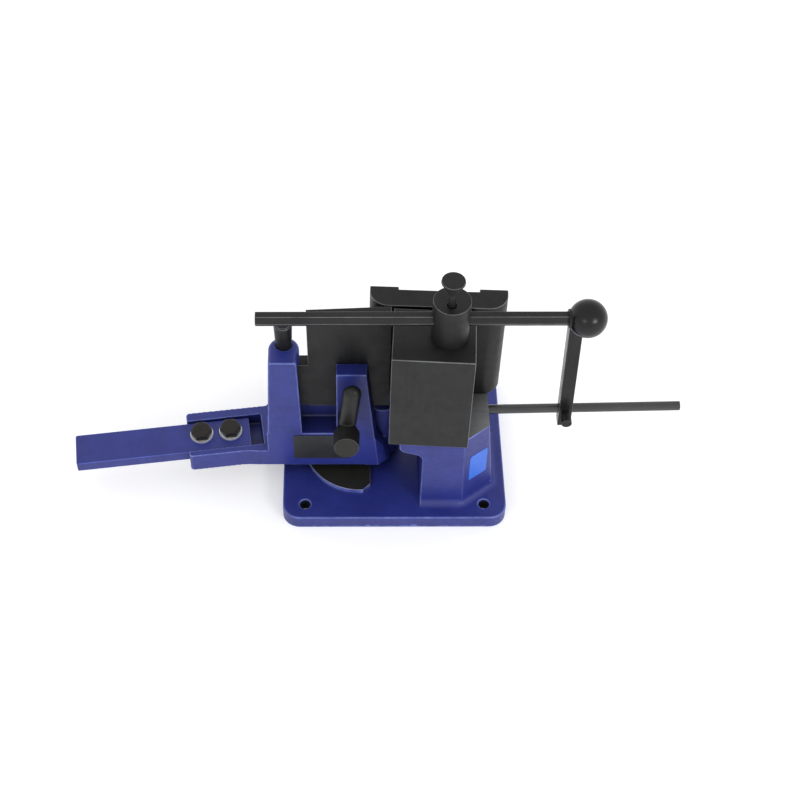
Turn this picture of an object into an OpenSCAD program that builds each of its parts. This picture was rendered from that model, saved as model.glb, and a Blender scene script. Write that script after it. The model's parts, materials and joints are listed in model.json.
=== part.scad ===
/* [Base] */
// Width of the base plate, left to right
base_w = 230; // [226:1:300]
// Depth of the base plate, front to back
base_d = 200; // [196:1:280]
// Thickness of the base plate
base_t = 16; // [12:0.5:24]
// Radius of the plate's four corners
base_corner_r = 17.5; // [6:0.5:19]
// Distance between the fixing holes, left to right
bolt_dx = 184; // [180:1:186]
// Distance between the fixing holes, front to back
bolt_dy = 165; // [160:1:166]
// Diameter of each fixing hole
bolt_hole_d = 11; // [9:0.5:14]
// Height of the raised bearing pad above the plate
pad_h = 5; // [3:0.5:8]
// Radius of the bearing pad
pad_r = 57; // [50:1:58]

/* [Pedestal] */
// Left side of the pedestal column, from the middle of the base
ped_x0 = 26; // [24:1:30]
// Right side of the pedestal column at the table
ped_x1 = 91.7; // [84:0.1:94]
// How much further right the column's foot stands
ped_draft = 10; // [0:0.5:11]
// Front of the pedestal column
ped_y0 = -81; // [-84:1:-78]
// Back of the pedestal column
ped_y1 = 12; // [9:1:13]
// Width of the chamfer on the front right corner, left to right
ped_chamfer = 25; // [22:0.1:27]
// Radius between that chamfer and the right side
ped_corner_r = 4; // [1:0.5:5]
// Height of the work table above the ground
table_z = 121.4; // [116:0.5:140]
// Thickness of the work table
table_t = 23; // [20:0.5:26]
// Left edge of the work table
table_x0 = 2.6; // [1:0.2:5]

/* [Pivot] */
// Place of the pivot, left to right
pivot_x = -13.6; // [-14:0.1:-13]
// Place of the pivot, front to back
pivot_y = -2.6; // [-3:0.1:-2]
// Diameter of the pivot shaft
pivot_d = 18; // [12:0.5:18]
// Outer radius of the yoke's hub
hub_r = 22; // [20:0.5:24]
// Wall of the hub's bushes
bush_wall = 3; // [2:0.25:3]
// Length of each bush
bush_len = 24; // [15:1:30]
// Thickness of the washer under the hub
washer_t = 2; // [1:0.25:3]

/* [Yoke] */
// Height of the yoke's underside above the ground
yoke_z0 = 32; // [31:0.5:34]
// Top of the yoke's front beam
beam_z1 = 85; // [82:0.5:90]
// Front face of the yoke
yoke_y0 = -44; // [-46:0.5:-43]
// Depth of the beam, front to back
beam_d = 23.5; // [20:0.5:24]
// Depth of the right post
post_d = 15; // [12:0.5:15]
// Height of the right post's top
right_post_z1 = 177; // [165:1:190]
// Height of the left post's top
left_post_z1 = 194.7; // [185:0.5:205]
// Radius of the left post's round boss
post_boss_r = 15; // [14:0.5:16]

/* [Wing] */
// Diameter of the hinge pin in the left post
hinge_d = 16; // [10:0.5:16]
// Height of the hinge pin's top
hinge_z1 = 226; // [210:1:240]
// Thickness of the bending wing
wing_t = 8; // [5:0.5:8]
// Height of the wing's top at its right end
wing_z1 = 250.4; // [235:0.1:252]
// Height of the wing's lower edge
wing_z0 = 111.8; // [111:0.1:114]
// Left end of the wing
wing_x0 = -86; // [-89:0.5:-85]
// Right end of the wing
wing_x1 = -7; // [-14:0.5:-6.5]
// Fall of the wing's top towards its left end
wing_drop = 4.5; // [0:0.5:8]
// Lower face of the hinge lug
lug_z0 = 113; // [113:1:126]
// Upper face of the hinge lug
lug_z1 = 174; // [160:1:176]
// Radius of the hinge lug
lug_r = 11.5; // [11:0.25:12]

/* [Clamp lever] */
// Place of the clamp screw, left to right
clamp_x = -49.3; // [-51:0.1:-47]
// Height of the clamp screw
clamp_z = 117.6; // [117:0.1:124]
// Diameter of the clamp screw
clamp_screw_d = 12; // [8:0.5:12]
// Diameter of the lever's hub at its front
clamp_hub_d = 24.5; // [20:0.5:26]
// Length of the lever's hub and collar, from the post
clamp_hub_len = 43; // [38:1:48]
// Length of the grip from the screw's axis
grip_len = 64; // [50:1:90]
// Width of the grip
grip_w = 18; // [12:0.5:18.5]
// Lean of the grip to the right, in degrees
grip_lean = 5.5; // [0:0.5:8]

/* [Handle] */
// Turn of the handle towards the front, in degrees
handle_turn = 7.5; // [4:0.5:9]
// Width of the flat handle bar
bar_w = 37; // [28:0.5:38]
// Thickness of the flat handle bar
bar_t = 12; // [8:0.5:13]
// Length of the flat handle bar
bar_len = 180; // [90:1:600]
// Thickness of the socket's floor
socket_floor = 8.5; // [5:0.5:9]
// Height of the socket's walls
socket_h = 23.5; // [20:0.5:25]
// Front wall of the socket
socket_front_wall = 7.1; // [5:0.1:8]
// Rear wall of the socket
socket_rear_wall = 10.5; // [8:0.5:14]
// Length of the socket
socket_len = 84; // [80:0.5:92]
// Length of the empty pocket at the bar's inner end
pocket_len = 12.8; // [10:0.1:16]
// Diameter of the handle bolts
hbolt_d = 12; // [8:0.5:12]
// Distance between the handle bolts
hbolt_pitch = 30; // [26:0.5:32]
// Width of the bolt heads across their flats
hbolt_af = 19; // [14:0.5:19]

/* [Block and former] */
// Turn of the clamp block on the table, in degrees
block_turn = -3.6; // [-3.8:0.1:-3.2]
// Width of the clamp block
block_w = 77.2; // [70:0.1:78]
// Depth of the clamp block
block_d = 63.8; // [58:0.1:64.5]
// Height of the clamp block
block_h = 127.5; // [118:0.5:132]
// Front left corner of the clamp block, left to right
block_x = -8.4; // [-8.6:0.1:-7.5]
// Front left corner of the clamp block, front to back
block_y = -85.3; // [-86:0.1:-84]
// Turn of the former on the table, in degrees
former_turn = -2.6; // [-3:0.1:-2.4]
// Length of the former
former_w = 131; // [110:0.5:134]
// Thickness of the former
former_d = 24.3; // [20:0.1:25]
// Height of the former
former_h = 127; // [118:0.5:130]
// Radius of the former's bending edges
former_r = 18; // [8:0.5:20]
// Width of the slot between clamp block and former
work_slot = 4.6; // [4.5:0.1:5.2]

/* [Eccentric] */
// Place of the eccentric's axis, left to right
ecc_x = 45.9; // [44:0.1:47]
// Place of the eccentric's axis, front to back
ecc_y = -56.9; // [-58:0.1:-56]
// Diameter of the eccentric's head
ecc_head_d = 34.8; // [32:0.2:38]
// Height of the eccentric's head
ecc_head_h = 48.6; // [40:0.2:54]
// Diameter of the cam inside the clamp block
cam_d = 24; // [20:0.5:24]
// Offset of the cam from the shaft's axis
cam_offset = 5; // [4:0.1:6]
// Diameter of the shaft in the table
journal_d = 20; // [14:0.5:24]
// Depth of the shaft in the pedestal
journal_len = 62; // [40:1:80]

/* [Lever] */
// Width of the hexagonal lever bar across its flats
lever_af = 12; // [10:0.5:12]
// Left end of the lever bar
lever_x0 = -132.7; // [-150:0.5:-110]
// Right end of the lever bar
lever_x1 = 152.5; // [130:0.5:170]
// Diameter of the ball knob
ball_d = 36; // [28:0.5:38]
// Diameter of the thumb screw's head
thumb_head_d = 21.5; // [16:0.5:24]
// Height of the thumb screw's head above the eccentric
thumb_rise = 32; // [24:0.5:34]

/* [Stop] */
// Diameter of the stop rod
rod_d = 9.5; // [7:0.5:10]
// Place of the stop rod, front to back
rod_y = -29.5; // [-31:0.5:-28]
// Rise of the stop rod towards its right end, in degrees
rod_rise = 1.6; // [0:0.1:2]
// Right end of the stop rod
rod_x1 = 285; // [220:0.5:360]
// Depth of the stop rod's seat in the table
rod_seat = 34; // [25:1:38]
// Width and depth of the stop arm
arm_w = 13.2; // [12.4:0.2:14]
// Place of the stop arm along the rod
arm_x = 170.2; // [140:0.1:200]
// Height of the stop arm's top
arm_z1 = 238; // [200:1:250]

/* [Hidden] */
$fn = 64;
eps = 0.01;
big = 400;
run_gap = 0.06;
seat_gap = 0.02;
air_gap = 0.3;
slide_gap = 0.15;

pad_x = -35.4;
pad_y = -11.4;
pad_cut_x = -24.5;
pad_cut_y = -60;
pad_cut_slope = 7.5;
pad_seat_r = 16;
pad_z1 = base_t + pad_h;
ped_front_draft = 2.7;
ped_chamfer_angle = 36.3;
ped_corner_steps = 6;
foot_r = 8;
foot_sink = 2;
foot_bite = 0.15;
foot_flare = 1;
table_z0 = table_z - table_t;
shelf_r = 9;
shelf_lip_rise = 2.5;
shelf_slope = 18.9;
shelf_x1 = ped_x0 + 2;
web_fillet_r = 10;
lug_reach = 14;
pivot_head_d = 26;
pivot_head_h = 6;
pivot_recess = 0.5;
bush_od = pivot_d + 2 * bush_wall;
hub_z0 = pad_z1 + washer_t;
hub_z1 = table_z0 - air_gap;
thrust_od = 30;

beam_y1 = yoke_y0 + beam_d;
post_y1 = yoke_y0 + post_d;
ledge_y1 = -4;
ledge_x0 = -96;
ledge_x1 = -37;
ledge_z1 = wing_z0 - air_gap;
arm_z_low = yoke_z0 + socket_h;
left_post_foot = [-130.0, -93.2];
left_post_head = [-124.7, -97.4];
right_post_foot = [-59.4, -16.6];
right_post_head = [-59.4, -30.0];
right_post_side_foot = 2.5;
right_post_side_head = 1.5;
flare_steps = [[23, 11, 6], [yoke_z0, 13, 0], [56, 9, 0], [76, 1.5, 0]];
flare_share = 0.75;
flare_depth = 7;
arm_side_x = -13;
post_top_r = 2.5;
boss_fillet = 3;
beam_x1 = -30;
beam_sink = 1;
arm_rear_y = 18;
arm_hub_turn = 20;
socket_reach = 4;
socket_blend = [[-140, 0], [-148, 0.5], [-157, 0.1], [-150, 4], [left_post_foot[0], 6]];
boss_x = -110;
boss_y = -24;
hinge_x = boss_x;
hinge_y = -19.5;
hinge_z0 = 92;
hinge_head_d = hinge_d + 2;
hinge_cham = 1.2;
fork_front = 12.2;
fork_side_gap = 1;

wing_y1 = -20.7;
wing_y0 = wing_y1 - wing_t;
wing_neck_y1 = -15.5;
wing_lean = 1.6;

clamp_hub_body = 18;
clamp_hub_d2 = clamp_hub_d + 1.5;
clamp_cone = 9;
clamp_collar_d = 17.5;
clamp_face_tilt = 11;
grip_t = 14;
grip_root_d = clamp_collar_d - 0.1;
grip_set_back = 24.5;
grip_y = yoke_y0 - clamp_hub_len + grip_set_back;
clamp_cap_t = 1.6;
clamp_cap_inset = 1.4;

socket_origin = [-130, -13.7];
socket_corner_r = 3.5;
channel_w = bar_w + 2;
pocket_x1 = -6.7;
bar_x1 = pocket_x1 - pocket_len;
bar_z0 = yoke_z0 + socket_floor;
bar_z1 = bar_z0 + bar_t;
bar_end_r = 2;
hbolt_x = bar_x1 - 20;
hbolt_y = 2.7;
hbolt_head_h = 7;
hbolt_tail = 1;
hwasher_d = 24;
hwasher_t = 2.4;
hnut_h = 8.5;
nut_washer_t = 1.5;

plate_x0 = -103.2;
plate_x1 = -45.3;
plate_z0 = 44.5;
plate_z1 = 82;
plate_t = 0.8;
plate_r = 2;
badge_t = 0.4;
badge_w = 22.8;
badge_h = 38;
badge_z0 = 49.5;
badge_along = 8.7;

block_z1 = table_z + block_h;
key_w = 10;
key_h = 10;
key_len = 40;
key_x = 22;
key_travel = 3.4;
key_screw_d = 4;
key_head_d = 7.4;
key_screw_len = 12;
turn_limit = 30;
former_lead = 19.5;
former_x = block_x - former_lead;
former_y = block_y + block_d * cos(block_turn) + work_slot;
former_notch = 3.1;
former_notch_x0 = 27.4;
former_notch_x1 = 104;
dowel_d = 12;
dowel_len = 36;
dowel_xs = [40, 84];

ecc_head_z0 = block_z1 + air_gap;
ecc_head_z1 = ecc_head_z0 + ecc_head_h;
lever_z = (ecc_head_z0 + ecc_head_z1) / 2;
lever_corner_d = lever_af / cos(30);
lever_hole_d = lever_corner_d + 2 * slide_gap;
neck_d = 18;
lever_seat = 8;
ball_x = lever_x1 + ball_d / 2;
web_h = 1;
thumb_d = 7;
thumb_x = ecc_x - 0.9;
thumb_y = ecc_y - 5.5;
thumb_sink_d = 9.5;
thumb_sink_h = 3;
thumb_z0 = lever_z + lever_af / 2 + air_gap;
thumb_head_t = 2;
thumb_cone = 14;
thumb_cone_d = thumb_head_d - 0.3;
thumb_neck_d = 8;

rod_drop = 4;
rod_z = table_z0 + table_t / 2 - rod_drop;
rod_travel = 15;
rod_screw_inset = 14;
rod_screw_x = ped_x1 - rod_screw_inset;
rod_screw_d = 8;
rod_screw_head_d = 14;
rod_screw_head_h = 8;
arm_drop = 20;
arm_x_local = arm_x - ped_x1;
stop_screw_d = 6;
stop_collar_d = 8;
stop_collar_len = 6;
stop_head_d = 10.5;
stop_head_len = 8;

// A flat slab with four round corners, its lower left front corner at the origin
module rounded_slab(w, d, h, r) {
    translate([r, 0, 0]) cube([w - 2 * r, d, h]);
    translate([0, r, 0]) cube([w, d - 2 * r, h]);
    for (x = [r, w - r], y = [r, d - r]) translate([x, y, 0]) cylinder(h = h, r = r);
}

// A prism from y0 to y1, whose children draw its outline in the X-Z plane
module upright(y0, y1) {
    translate([0, y1, 0]) rotate([90, 0, 0]) linear_extrude(y1 - y0) children();
}

// A thin upright sheet with a trapezoid outline, used as the end of a tapered post
module post_sheet(foot, head, z0, z1, y) {
    upright(y, y + eps) polygon([[foot[0], z0], [foot[1], z0], [head[1], z1], [head[0], z1]]);
}

// Places its children in the clamp block's own directions, from its front left corner
module on_block_axes() {
    translate([block_x, block_y, 0]) rotate([0, 0, block_turn]) children();
}

// Places its children in the former's own directions, from its front left corner
module on_former_axes() {
    translate([former_x, former_y, 0]) rotate([0, 0, former_turn]) children();
}

// Places its children on the stop rod's axis, from the table's right side and with X along the rod
module on_rod_axis() {
    translate([ped_x1, rod_y, rod_z]) rotate([0, -rod_rise, 0]) children();
}

// Places its children in the handle's own directions, with the socket's inner end at the origin
module on_handle_axes() {
    translate([socket_origin[0], socket_origin[1], 0]) rotate([0, 0, handle_turn]) children();
}

// The column's outline; out is how far its right side has moved out, along the draft
module pedestal_outline(out) {
    front = ped_x1 - ped_chamfer + ped_front_draft * out / max(ped_draft, eps);
    arc_x = ped_x1 + out - ped_corner_r;
    arc_y = ped_y0 + ((arc_x - front) * sin(ped_chamfer_angle) + ped_corner_r) / cos(ped_chamfer_angle);
    turn = (ped_chamfer_angle - 90) / ped_corner_steps;
    polygon(concat(
        [[ped_x0, ped_y0], [front, ped_y0]],
        [for (i = [ped_corner_steps:-1:0])
            [arc_x + ped_corner_r * cos(i * turn), arc_y + ped_corner_r * sin(i * turn)]],
        [[ped_x1 + out, ped_y1], [ped_x0, ped_y1]]
    ));
}

module base_plate() {
    translate([-base_w / 2, -base_d / 2, 0]) rounded_slab(base_w, base_d, base_t, base_corner_r);
}

module bearing_pad() {
    translate([0, 0, base_t - eps]) linear_extrude(pad_h + eps) {
        intersection() {
            translate([pad_x, pad_y]) circle(r = pad_r);
            polygon([
                [pad_x - big, pad_cut_y - big], [pad_cut_x - pad_cut_slope, pad_cut_y - big],
                [pad_cut_x - pad_cut_slope, pad_cut_y - pad_cut_slope], [pad_cut_x, pad_cut_y],
                [pad_cut_x, big], [pad_x - big, big]
            ]);
        }
        translate([pivot_x, pivot_y]) circle(r = pad_seat_r);
    }
}

module pedestal_column() {
    hull() {
        translate([0, 0, base_t - eps]) linear_extrude(eps) pedestal_outline(ped_draft);
        translate([0, 0, table_z - eps]) linear_extrude(eps) pedestal_outline(0);
    }
}

// A concave fillet along X, at the foot of a wall that faces the front and ends at the origin
module foot_fillet(len) {
    rotate([90, 0, 90]) linear_extrude(len) difference() {
        translate([-foot_r, -eps]) square([foot_r + foot_sink, foot_r + eps]);
        translate([-foot_r, foot_r]) circle(r = foot_r);
    }
}

// The fillet along the column's front
module front_foot() {
    translate([ped_x0, ped_y0, base_t]) foot_fillet(ped_x1 - ped_chamfer - ped_x0);
}

// The fillet along the column's right side, cut off by the chamfer's plane
module right_foot() {
    front = ped_x1 - ped_chamfer + ped_front_draft + foot_flare;
    right = ped_x1 + ped_draft - foot_r * ped_draft / (table_z - base_t) - foot_bite;
    reach = right + foot_r - front;
    translate([0, 0, base_t - eps]) intersection() {
        translate([right, ped_y0, eps]) rotate([0, 0, 90]) foot_fillet(ped_y1 - ped_y0 - foot_sink);
        linear_extrude(foot_r + 2 * eps) polygon([
            [front, ped_y0], [front + reach, ped_y0 + reach * tan(ped_chamfer_angle)],
            [front + reach, ped_y1], [front, ped_y1]
        ]);
    }
}

// The overhanging left part of the table, with a round lower lip and a sloped underside
module shelf_outline() {
    lip_x = table_x0 + shelf_r;
    lip_z = table_z0 + shelf_r + shelf_lip_rise;
    under_x = lip_x - shelf_r * sin(shelf_slope);
    under_z = lip_z - shelf_r * cos(shelf_slope);
    fillet_x = ped_x0 - web_fillet_r;
    top_x = fillet_x + web_fillet_r * sin(shelf_slope);
    top_z = under_z - (top_x - under_x) * tan(shelf_slope);
    fillet_z = top_z - web_fillet_r * cos(shelf_slope);
    translate([lip_x, lip_z]) circle(r = shelf_r);
    polygon([
        [table_x0, lip_z], [lip_x, lip_z], [under_x, under_z], [top_x, top_z],
        [shelf_x1, top_z], [shelf_x1, table_z], [table_x0, table_z]
    ]);
    difference() {
        translate([top_x, fillet_z]) square([shelf_x1 - top_x, top_z - fillet_z + eps]);
        translate([fillet_x, fillet_z]) circle(r = web_fillet_r);
    }
}

module table_shelf() {
    upright(ped_y0, ped_y1) shelf_outline();
    translate([pivot_x, pivot_y, table_z0]) cylinder(h = table_t, r = lug_reach);
    translate([pivot_x, pivot_y - lug_reach, table_z0])
        cube([table_x0 - pivot_x + 2 * shelf_r, 2 * lug_reach, table_t]);
}

module base_casting() {
    color("royalblue") difference() {
        union() {
            base_plate();
            bearing_pad();
            pedestal_column();
            table_shelf();
            front_foot();
            right_foot();
        }
        for (x = [-1, 1], y = [-1, 1])
            translate([x * bolt_dx / 2, y * bolt_dy / 2, -eps])
                cylinder(h = base_t + 2 * eps, d = bolt_hole_d);
        translate([pivot_x, pivot_y, -eps]) cylinder(h = table_z + 2 * eps, d = pivot_d + 2 * seat_gap);
        translate([pivot_x, pivot_y, -eps])
            cylinder(h = pivot_head_h + pivot_recess + eps, d = pivot_head_d + 2 * air_gap);
        translate([ecc_x, ecc_y, table_z - journal_len - air_gap])
            cylinder(h = journal_len + big, d = journal_d + 2 * run_gap);
        on_rod_axis() translate([-rod_seat - rod_travel, 0, 0]) rotate([0, 90, 0])
            cylinder(h = big, d = rod_d + 2 * run_gap);
        translate([rod_screw_x, rod_y, rod_z]) rotate([-90, 0, 0])
            cylinder(h = big, d = rod_screw_d + 2 * run_gap);
        key_slot();
        on_former_axes() for (x = dowel_xs) translate([x, former_d / 2, table_z - dowel_len / 2])
            cylinder(h = dowel_len, d = dowel_d + 2 * seat_gap);
    }
}

module key_slot() {
    on_block_axes() translate([key_x - key_w / 2, (block_d - key_len) / 2, table_z - key_h / 2]) {
        cube([key_w, key_len, key_h]);
        for (y = [key_len / 4, key_len * 3 / 4]) translate([key_w / 2, y, -key_screw_len])
            cylinder(h = key_screw_len + eps, d = key_screw_d + 2 * seat_gap);
    }
}

module pivot_shaft() {
    color("silver") translate([pivot_x, pivot_y, pivot_recess]) {
        cylinder(h = table_z - pivot_recess - air_gap, d = pivot_d);
        cylinder(h = pivot_head_h, d = pivot_head_d);
    }
}

module thrust_washer() {
    color("goldenrod") translate([pivot_x, pivot_y, pad_z1]) difference() {
        cylinder(h = washer_t, d = thrust_od);
        translate([0, 0, -eps]) cylinder(h = washer_t + 2 * eps, d = pivot_d + 2 * run_gap);
    }
}

module hub_bushes() {
    color("goldenrod") for (z = [hub_z0, hub_z1 - bush_len]) translate([pivot_x, pivot_y, z]) difference() {
        cylinder(h = bush_len, d = bush_od);
        translate([0, 0, -eps]) cylinder(h = bush_len + 2 * eps, d = pivot_d + 2 * run_gap);
    }
}

// The outline of the handle's socket, with round corners at its open end
module socket_outline() {
    w0 = channel_w / 2 + socket_front_wall;
    w1 = channel_w / 2 + socket_rear_wall;
    r = socket_corner_r;
    translate([r - socket_len, -w0]) square([socket_len - r + socket_reach, w0 + w1]);
    translate([-socket_len, r - w0]) square([socket_len, w0 + w1 - 2 * r]);
    for (y = [r - w0, w1 - r]) translate([r - socket_len, y]) circle(r = r);
}

// The outline of the yoke's lower slab, from the handle's socket to the hub
module arm_outline() {
    buried = 3;
    left = left_post_foot[0] - buried;
    polygon([
        [left, yoke_y0],
        [right_post_foot[1] - buried, yoke_y0],
        [arm_side_x, post_y1],
        [pivot_x + hub_r * cos(arm_hub_turn), pivot_y - hub_r * sin(arm_hub_turn)],
        [pivot_x, pivot_y + hub_r - beam_sink],
        [left, arm_rear_y]
    ]);
    polygon(concat(
        [[left_post_foot[0], yoke_y0]],
        [for (p = socket_blend) [p[0], yoke_y0 + p[1]]]
    ));
    on_handle_axes() socket_outline();
}

module yoke_arm() {
    low = arm_z_low - beam_sink;
    translate([0, 0, yoke_z0]) linear_extrude(socket_h) arm_outline();
    translate([left_post_foot[0], yoke_y0, low]) cube([beam_x1 - left_post_foot[0], beam_d, beam_z1 - low]);
    translate([ledge_x0, beam_y1, low]) cube([ledge_x1 - ledge_x0, ledge_y1 - beam_y1, ledge_z1 - low]);
}

module left_post() {
    upright(yoke_y0, boss_y) intersection() {
        polygon([
            [left_post_foot[0], arm_z_low - eps], [left_post_foot[1], arm_z_low - eps],
            [left_post_head[1], left_post_z1], [left_post_head[0], left_post_z1]
        ]);
        union() {
            translate([left_post_foot[0], 0]) square([big, left_post_z1 - post_top_r]);
            translate([left_post_head[0] + post_top_r, 0])
                square([left_post_head[1] - left_post_head[0] - 2 * post_top_r, big]);
            for (x = [left_post_head[0] + post_top_r, left_post_head[1] - post_top_r])
                translate([x, left_post_z1 - post_top_r]) circle(r = post_top_r);
        }
    }
    left_post_boss(left_post_z1 - arm_z_low);
}

// The round boss behind the left post's front, with a round upper edge
module left_post_boss(h) {
    translate([boss_x, boss_y, arm_z_low]) rotate_extrude() {
        square([post_boss_r - boss_fillet, h]);
        square([post_boss_r, h - boss_fillet]);
        translate([post_boss_r - boss_fillet, h - boss_fillet]) circle(r = boss_fillet);
    }
}

module right_post() {
    hull() {
        post_sheet(right_post_foot, right_post_head, yoke_z0, right_post_z1, yoke_y0);
        post_sheet(right_post_foot + [0, right_post_side_foot], right_post_head + [0, right_post_side_head],
            yoke_z0, right_post_z1, post_y1 - eps);
    }
}

// One level of the right post's foot; step holds its height, its reach to the right and its set-back
module flare_sheet(step) {
    rise = (step[0] - yoke_z0) / (right_post_z1 - yoke_z0);
    edge = right_post_foot[1] + (right_post_head[1] - right_post_foot[1]) * rise;
    front = yoke_y0 + step[2];
    translate([0, 0, step[0]]) linear_extrude(eps) polygon([
        [right_post_head[1], front], [edge, front], [edge + step[1] * flare_share, front + flare_depth],
        [edge + step[1], post_y1], [right_post_head[1], post_y1]
    ]);
}

module post_flare() {
    for (i = [0 : len(flare_steps) - 2]) hull() {
        flare_sheet(flare_steps[i]);
        flare_sheet(flare_steps[i + 1]);
    }
}

module swing_yoke() {
    color("royalblue") difference() {
        union() {
            yoke_arm();
            left_post();
            right_post();
            post_flare();
            translate([pivot_x, pivot_y, hub_z0]) cylinder(h = hub_z1 - hub_z0, r = hub_r);
        }
        translate([pivot_x, pivot_y, 0]) cylinder(h = big, d = bush_od + 2 * seat_gap);
        translate([hinge_x, hinge_y, hinge_z0]) cylinder(h = big, d = hinge_d + 2 * seat_gap);
        fork_gap();
        translate([clamp_x, yoke_y0 - big / 2, clamp_z]) rotate([-90, 0, 0])
            cylinder(h = big, d = clamp_screw_d + 2 * run_gap);
        at_handle_bolts() cylinder(h = big, d = hbolt_d + 2 * air_gap);
        on_handle_axes() translate([-socket_len - eps, -channel_w / 2, bar_z0])
            cube([socket_len + pocket_x1 + eps, channel_w, socket_h]);
    }
}

// The space between the left post's two ears, where the wing's lug turns on the pin
module fork_gap() {
    h = lug_z1 - lug_z0 + 2 * air_gap;
    wide = post_boss_r * 4;
    translate([hinge_x, hinge_y, lug_z0 - air_gap]) cylinder(h = h, r = lug_r + fork_side_gap);
    translate([hinge_x - wide / 2, hinge_y - fork_side_gap, lug_z0 - air_gap]) cube([wide, wide, h]);
    translate([hinge_x, yoke_y0 + fork_front, lug_z0 - air_gap]) cube([wide / 2, wide, h]);
}

module hinge_pin() {
    color("dimgray") translate([hinge_x, hinge_y, hinge_z0]) {
        cylinder(h = left_post_z1 - hinge_z0 + 2 * air_gap, d = hinge_d);
        translate([0, 0, left_post_z1 - hinge_z0 + air_gap])
            cylinder(h = hinge_z1 - left_post_z1 - air_gap - hinge_cham, d1 = hinge_d, d2 = hinge_head_d);
        translate([0, 0, hinge_z1 - hinge_z0 - hinge_cham])
            cylinder(h = hinge_cham, d1 = hinge_head_d, d2 = hinge_head_d - 2 * hinge_cham);
    }
}

module bending_wing() {
    color("dimgray") difference() {
        union() {
            upright(wing_y0, wing_y1) polygon([
                [wing_x0, wing_z0], [wing_x1, wing_z0],
                [wing_x1, wing_z1], [wing_x0 - wing_lean, wing_z1 - wing_drop]
            ]);
            translate([hinge_x, hinge_y, lug_z0]) cylinder(h = lug_z1 - lug_z0, r = lug_r);
            translate([hinge_x, wing_y0, lug_z0])
                cube([wing_x0 - hinge_x + eps, wing_neck_y1 - wing_y0, lug_z1 - lug_z0]);
        }
        translate([hinge_x, hinge_y, 0]) cylinder(h = big, d = hinge_d + 2 * run_gap);
    }
}

module clamp_screw() {
    len = wing_y0 - yoke_y0 + clamp_hub_len / 2;
    color("silver") translate([clamp_x, wing_y0, clamp_z]) rotate([90, 0, 0])
        cylinder(h = len, d = clamp_screw_d);
}

// Places its children on the lever's tilted front face, with Z pointing into the hub
module on_clamp_face() {
    translate([clamp_x, yoke_y0 - clamp_hub_len, clamp_z]) rotate([-90 + clamp_face_tilt, 0, 0]) children();
}

module clamp_grip() {
    translate([clamp_x, grip_y, clamp_z]) rotate([0, grip_lean, 0]) hull() {
        scale([1, grip_t / grip_w, 1]) cylinder(h = 1, d = grip_root_d, $fn = 32);
        translate([0, 0, grip_len - grip_w / 2]) scale([1, grip_t / grip_w, 1])
            sphere(d = grip_w, $fn = 32);
    }
}

module clamp_lever() {
    y0 = yoke_y0 - clamp_hub_len;
    spare = clamp_hub_d * tan(clamp_face_tilt);
    color("darkslategray") difference() {
        union() {
            translate([clamp_x, y0, clamp_z]) rotate([-90, 0, 0]) rotate_extrude() polygon([
                [0, -spare], [clamp_hub_d / 2, -spare], [clamp_hub_d2 / 2, clamp_hub_body],
                [clamp_collar_d / 2, clamp_hub_body + clamp_cone],
                [clamp_collar_d / 2, clamp_hub_len - air_gap], [0, clamp_hub_len - air_gap]
            ]);
            clamp_grip();
        }
        on_clamp_face() translate([-clamp_hub_d, -clamp_hub_d, -clamp_hub_d])
            cube([2 * clamp_hub_d, 2 * clamp_hub_d, clamp_hub_d]);
        on_clamp_face() translate([0, 0, -eps])
            cylinder(h = clamp_cap_t + eps, d = clamp_hub_d - 2 * clamp_cap_inset);
        translate([clamp_x, yoke_y0 - clamp_hub_len / 2, clamp_z]) rotate([-90, 0, 0])
            cylinder(h = clamp_hub_len, d = clamp_screw_d + 2 * seat_gap);
    }
}

module clamp_cap() {
    color("darkslategray") on_clamp_face()
        cylinder(h = clamp_cap_t, d = clamp_hub_d - 2 * clamp_cap_inset - 2 * seat_gap);
}

module handle_bar() {
    color("royalblue") on_handle_axes() difference() {
        translate([bar_x1 - bar_len, -bar_w / 2, bar_z0]) rounded_slab(bar_len, bar_w, bar_t, bar_end_r);
        for (i = [0, 1]) translate([hbolt_x - i * hbolt_pitch, hbolt_y, 0])
            cylinder(h = big, d = hbolt_d + 2 * air_gap);
    }
}

module at_handle_bolts() {
    on_handle_axes() for (i = [0, 1]) translate([hbolt_x - i * hbolt_pitch, hbolt_y, 0]) children();
}

module handle_bolts() {
    color("dimgray") at_handle_bolts() {
        low = yoke_z0 - nut_washer_t - hnut_h - hbolt_tail;
        top = bar_z1 + hwasher_t;
        translate([0, 0, top]) cylinder(h = hbolt_head_h, d = hbolt_af / cos(30), $fn = 6);
        translate([0, 0, low]) cylinder(h = top - low + eps, d = hbolt_d);
    }
}

module handle_washers() {
    color("silver") at_handle_bolts() {
        for (p = [[bar_z1, hwasher_t], [yoke_z0 - nut_washer_t, nut_washer_t]])
            translate([0, 0, p[0]]) difference() {
                cylinder(h = p[1], d = hwasher_d);
                translate([0, 0, -eps]) cylinder(h = p[1] + 2 * eps, d = hbolt_d + 2 * air_gap);
            }
    }
}

module handle_nuts() {
    color("dimgray") at_handle_bolts() translate([0, 0, yoke_z0 - nut_washer_t - hnut_h]) difference() {
        cylinder(h = hnut_h, d = hbolt_af / cos(30), $fn = 6);
        translate([0, 0, -eps]) cylinder(h = hnut_h + 2 * eps, d = hbolt_d + 2 * seat_gap);
    }
}

module name_plate() {
    color("black") translate([plate_x0, yoke_y0, plate_z0]) rotate([90, 0, 0])
        rounded_slab(plate_x1 - plate_x0, plate_z1 - plate_z0, plate_t, plate_r);
}

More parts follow.
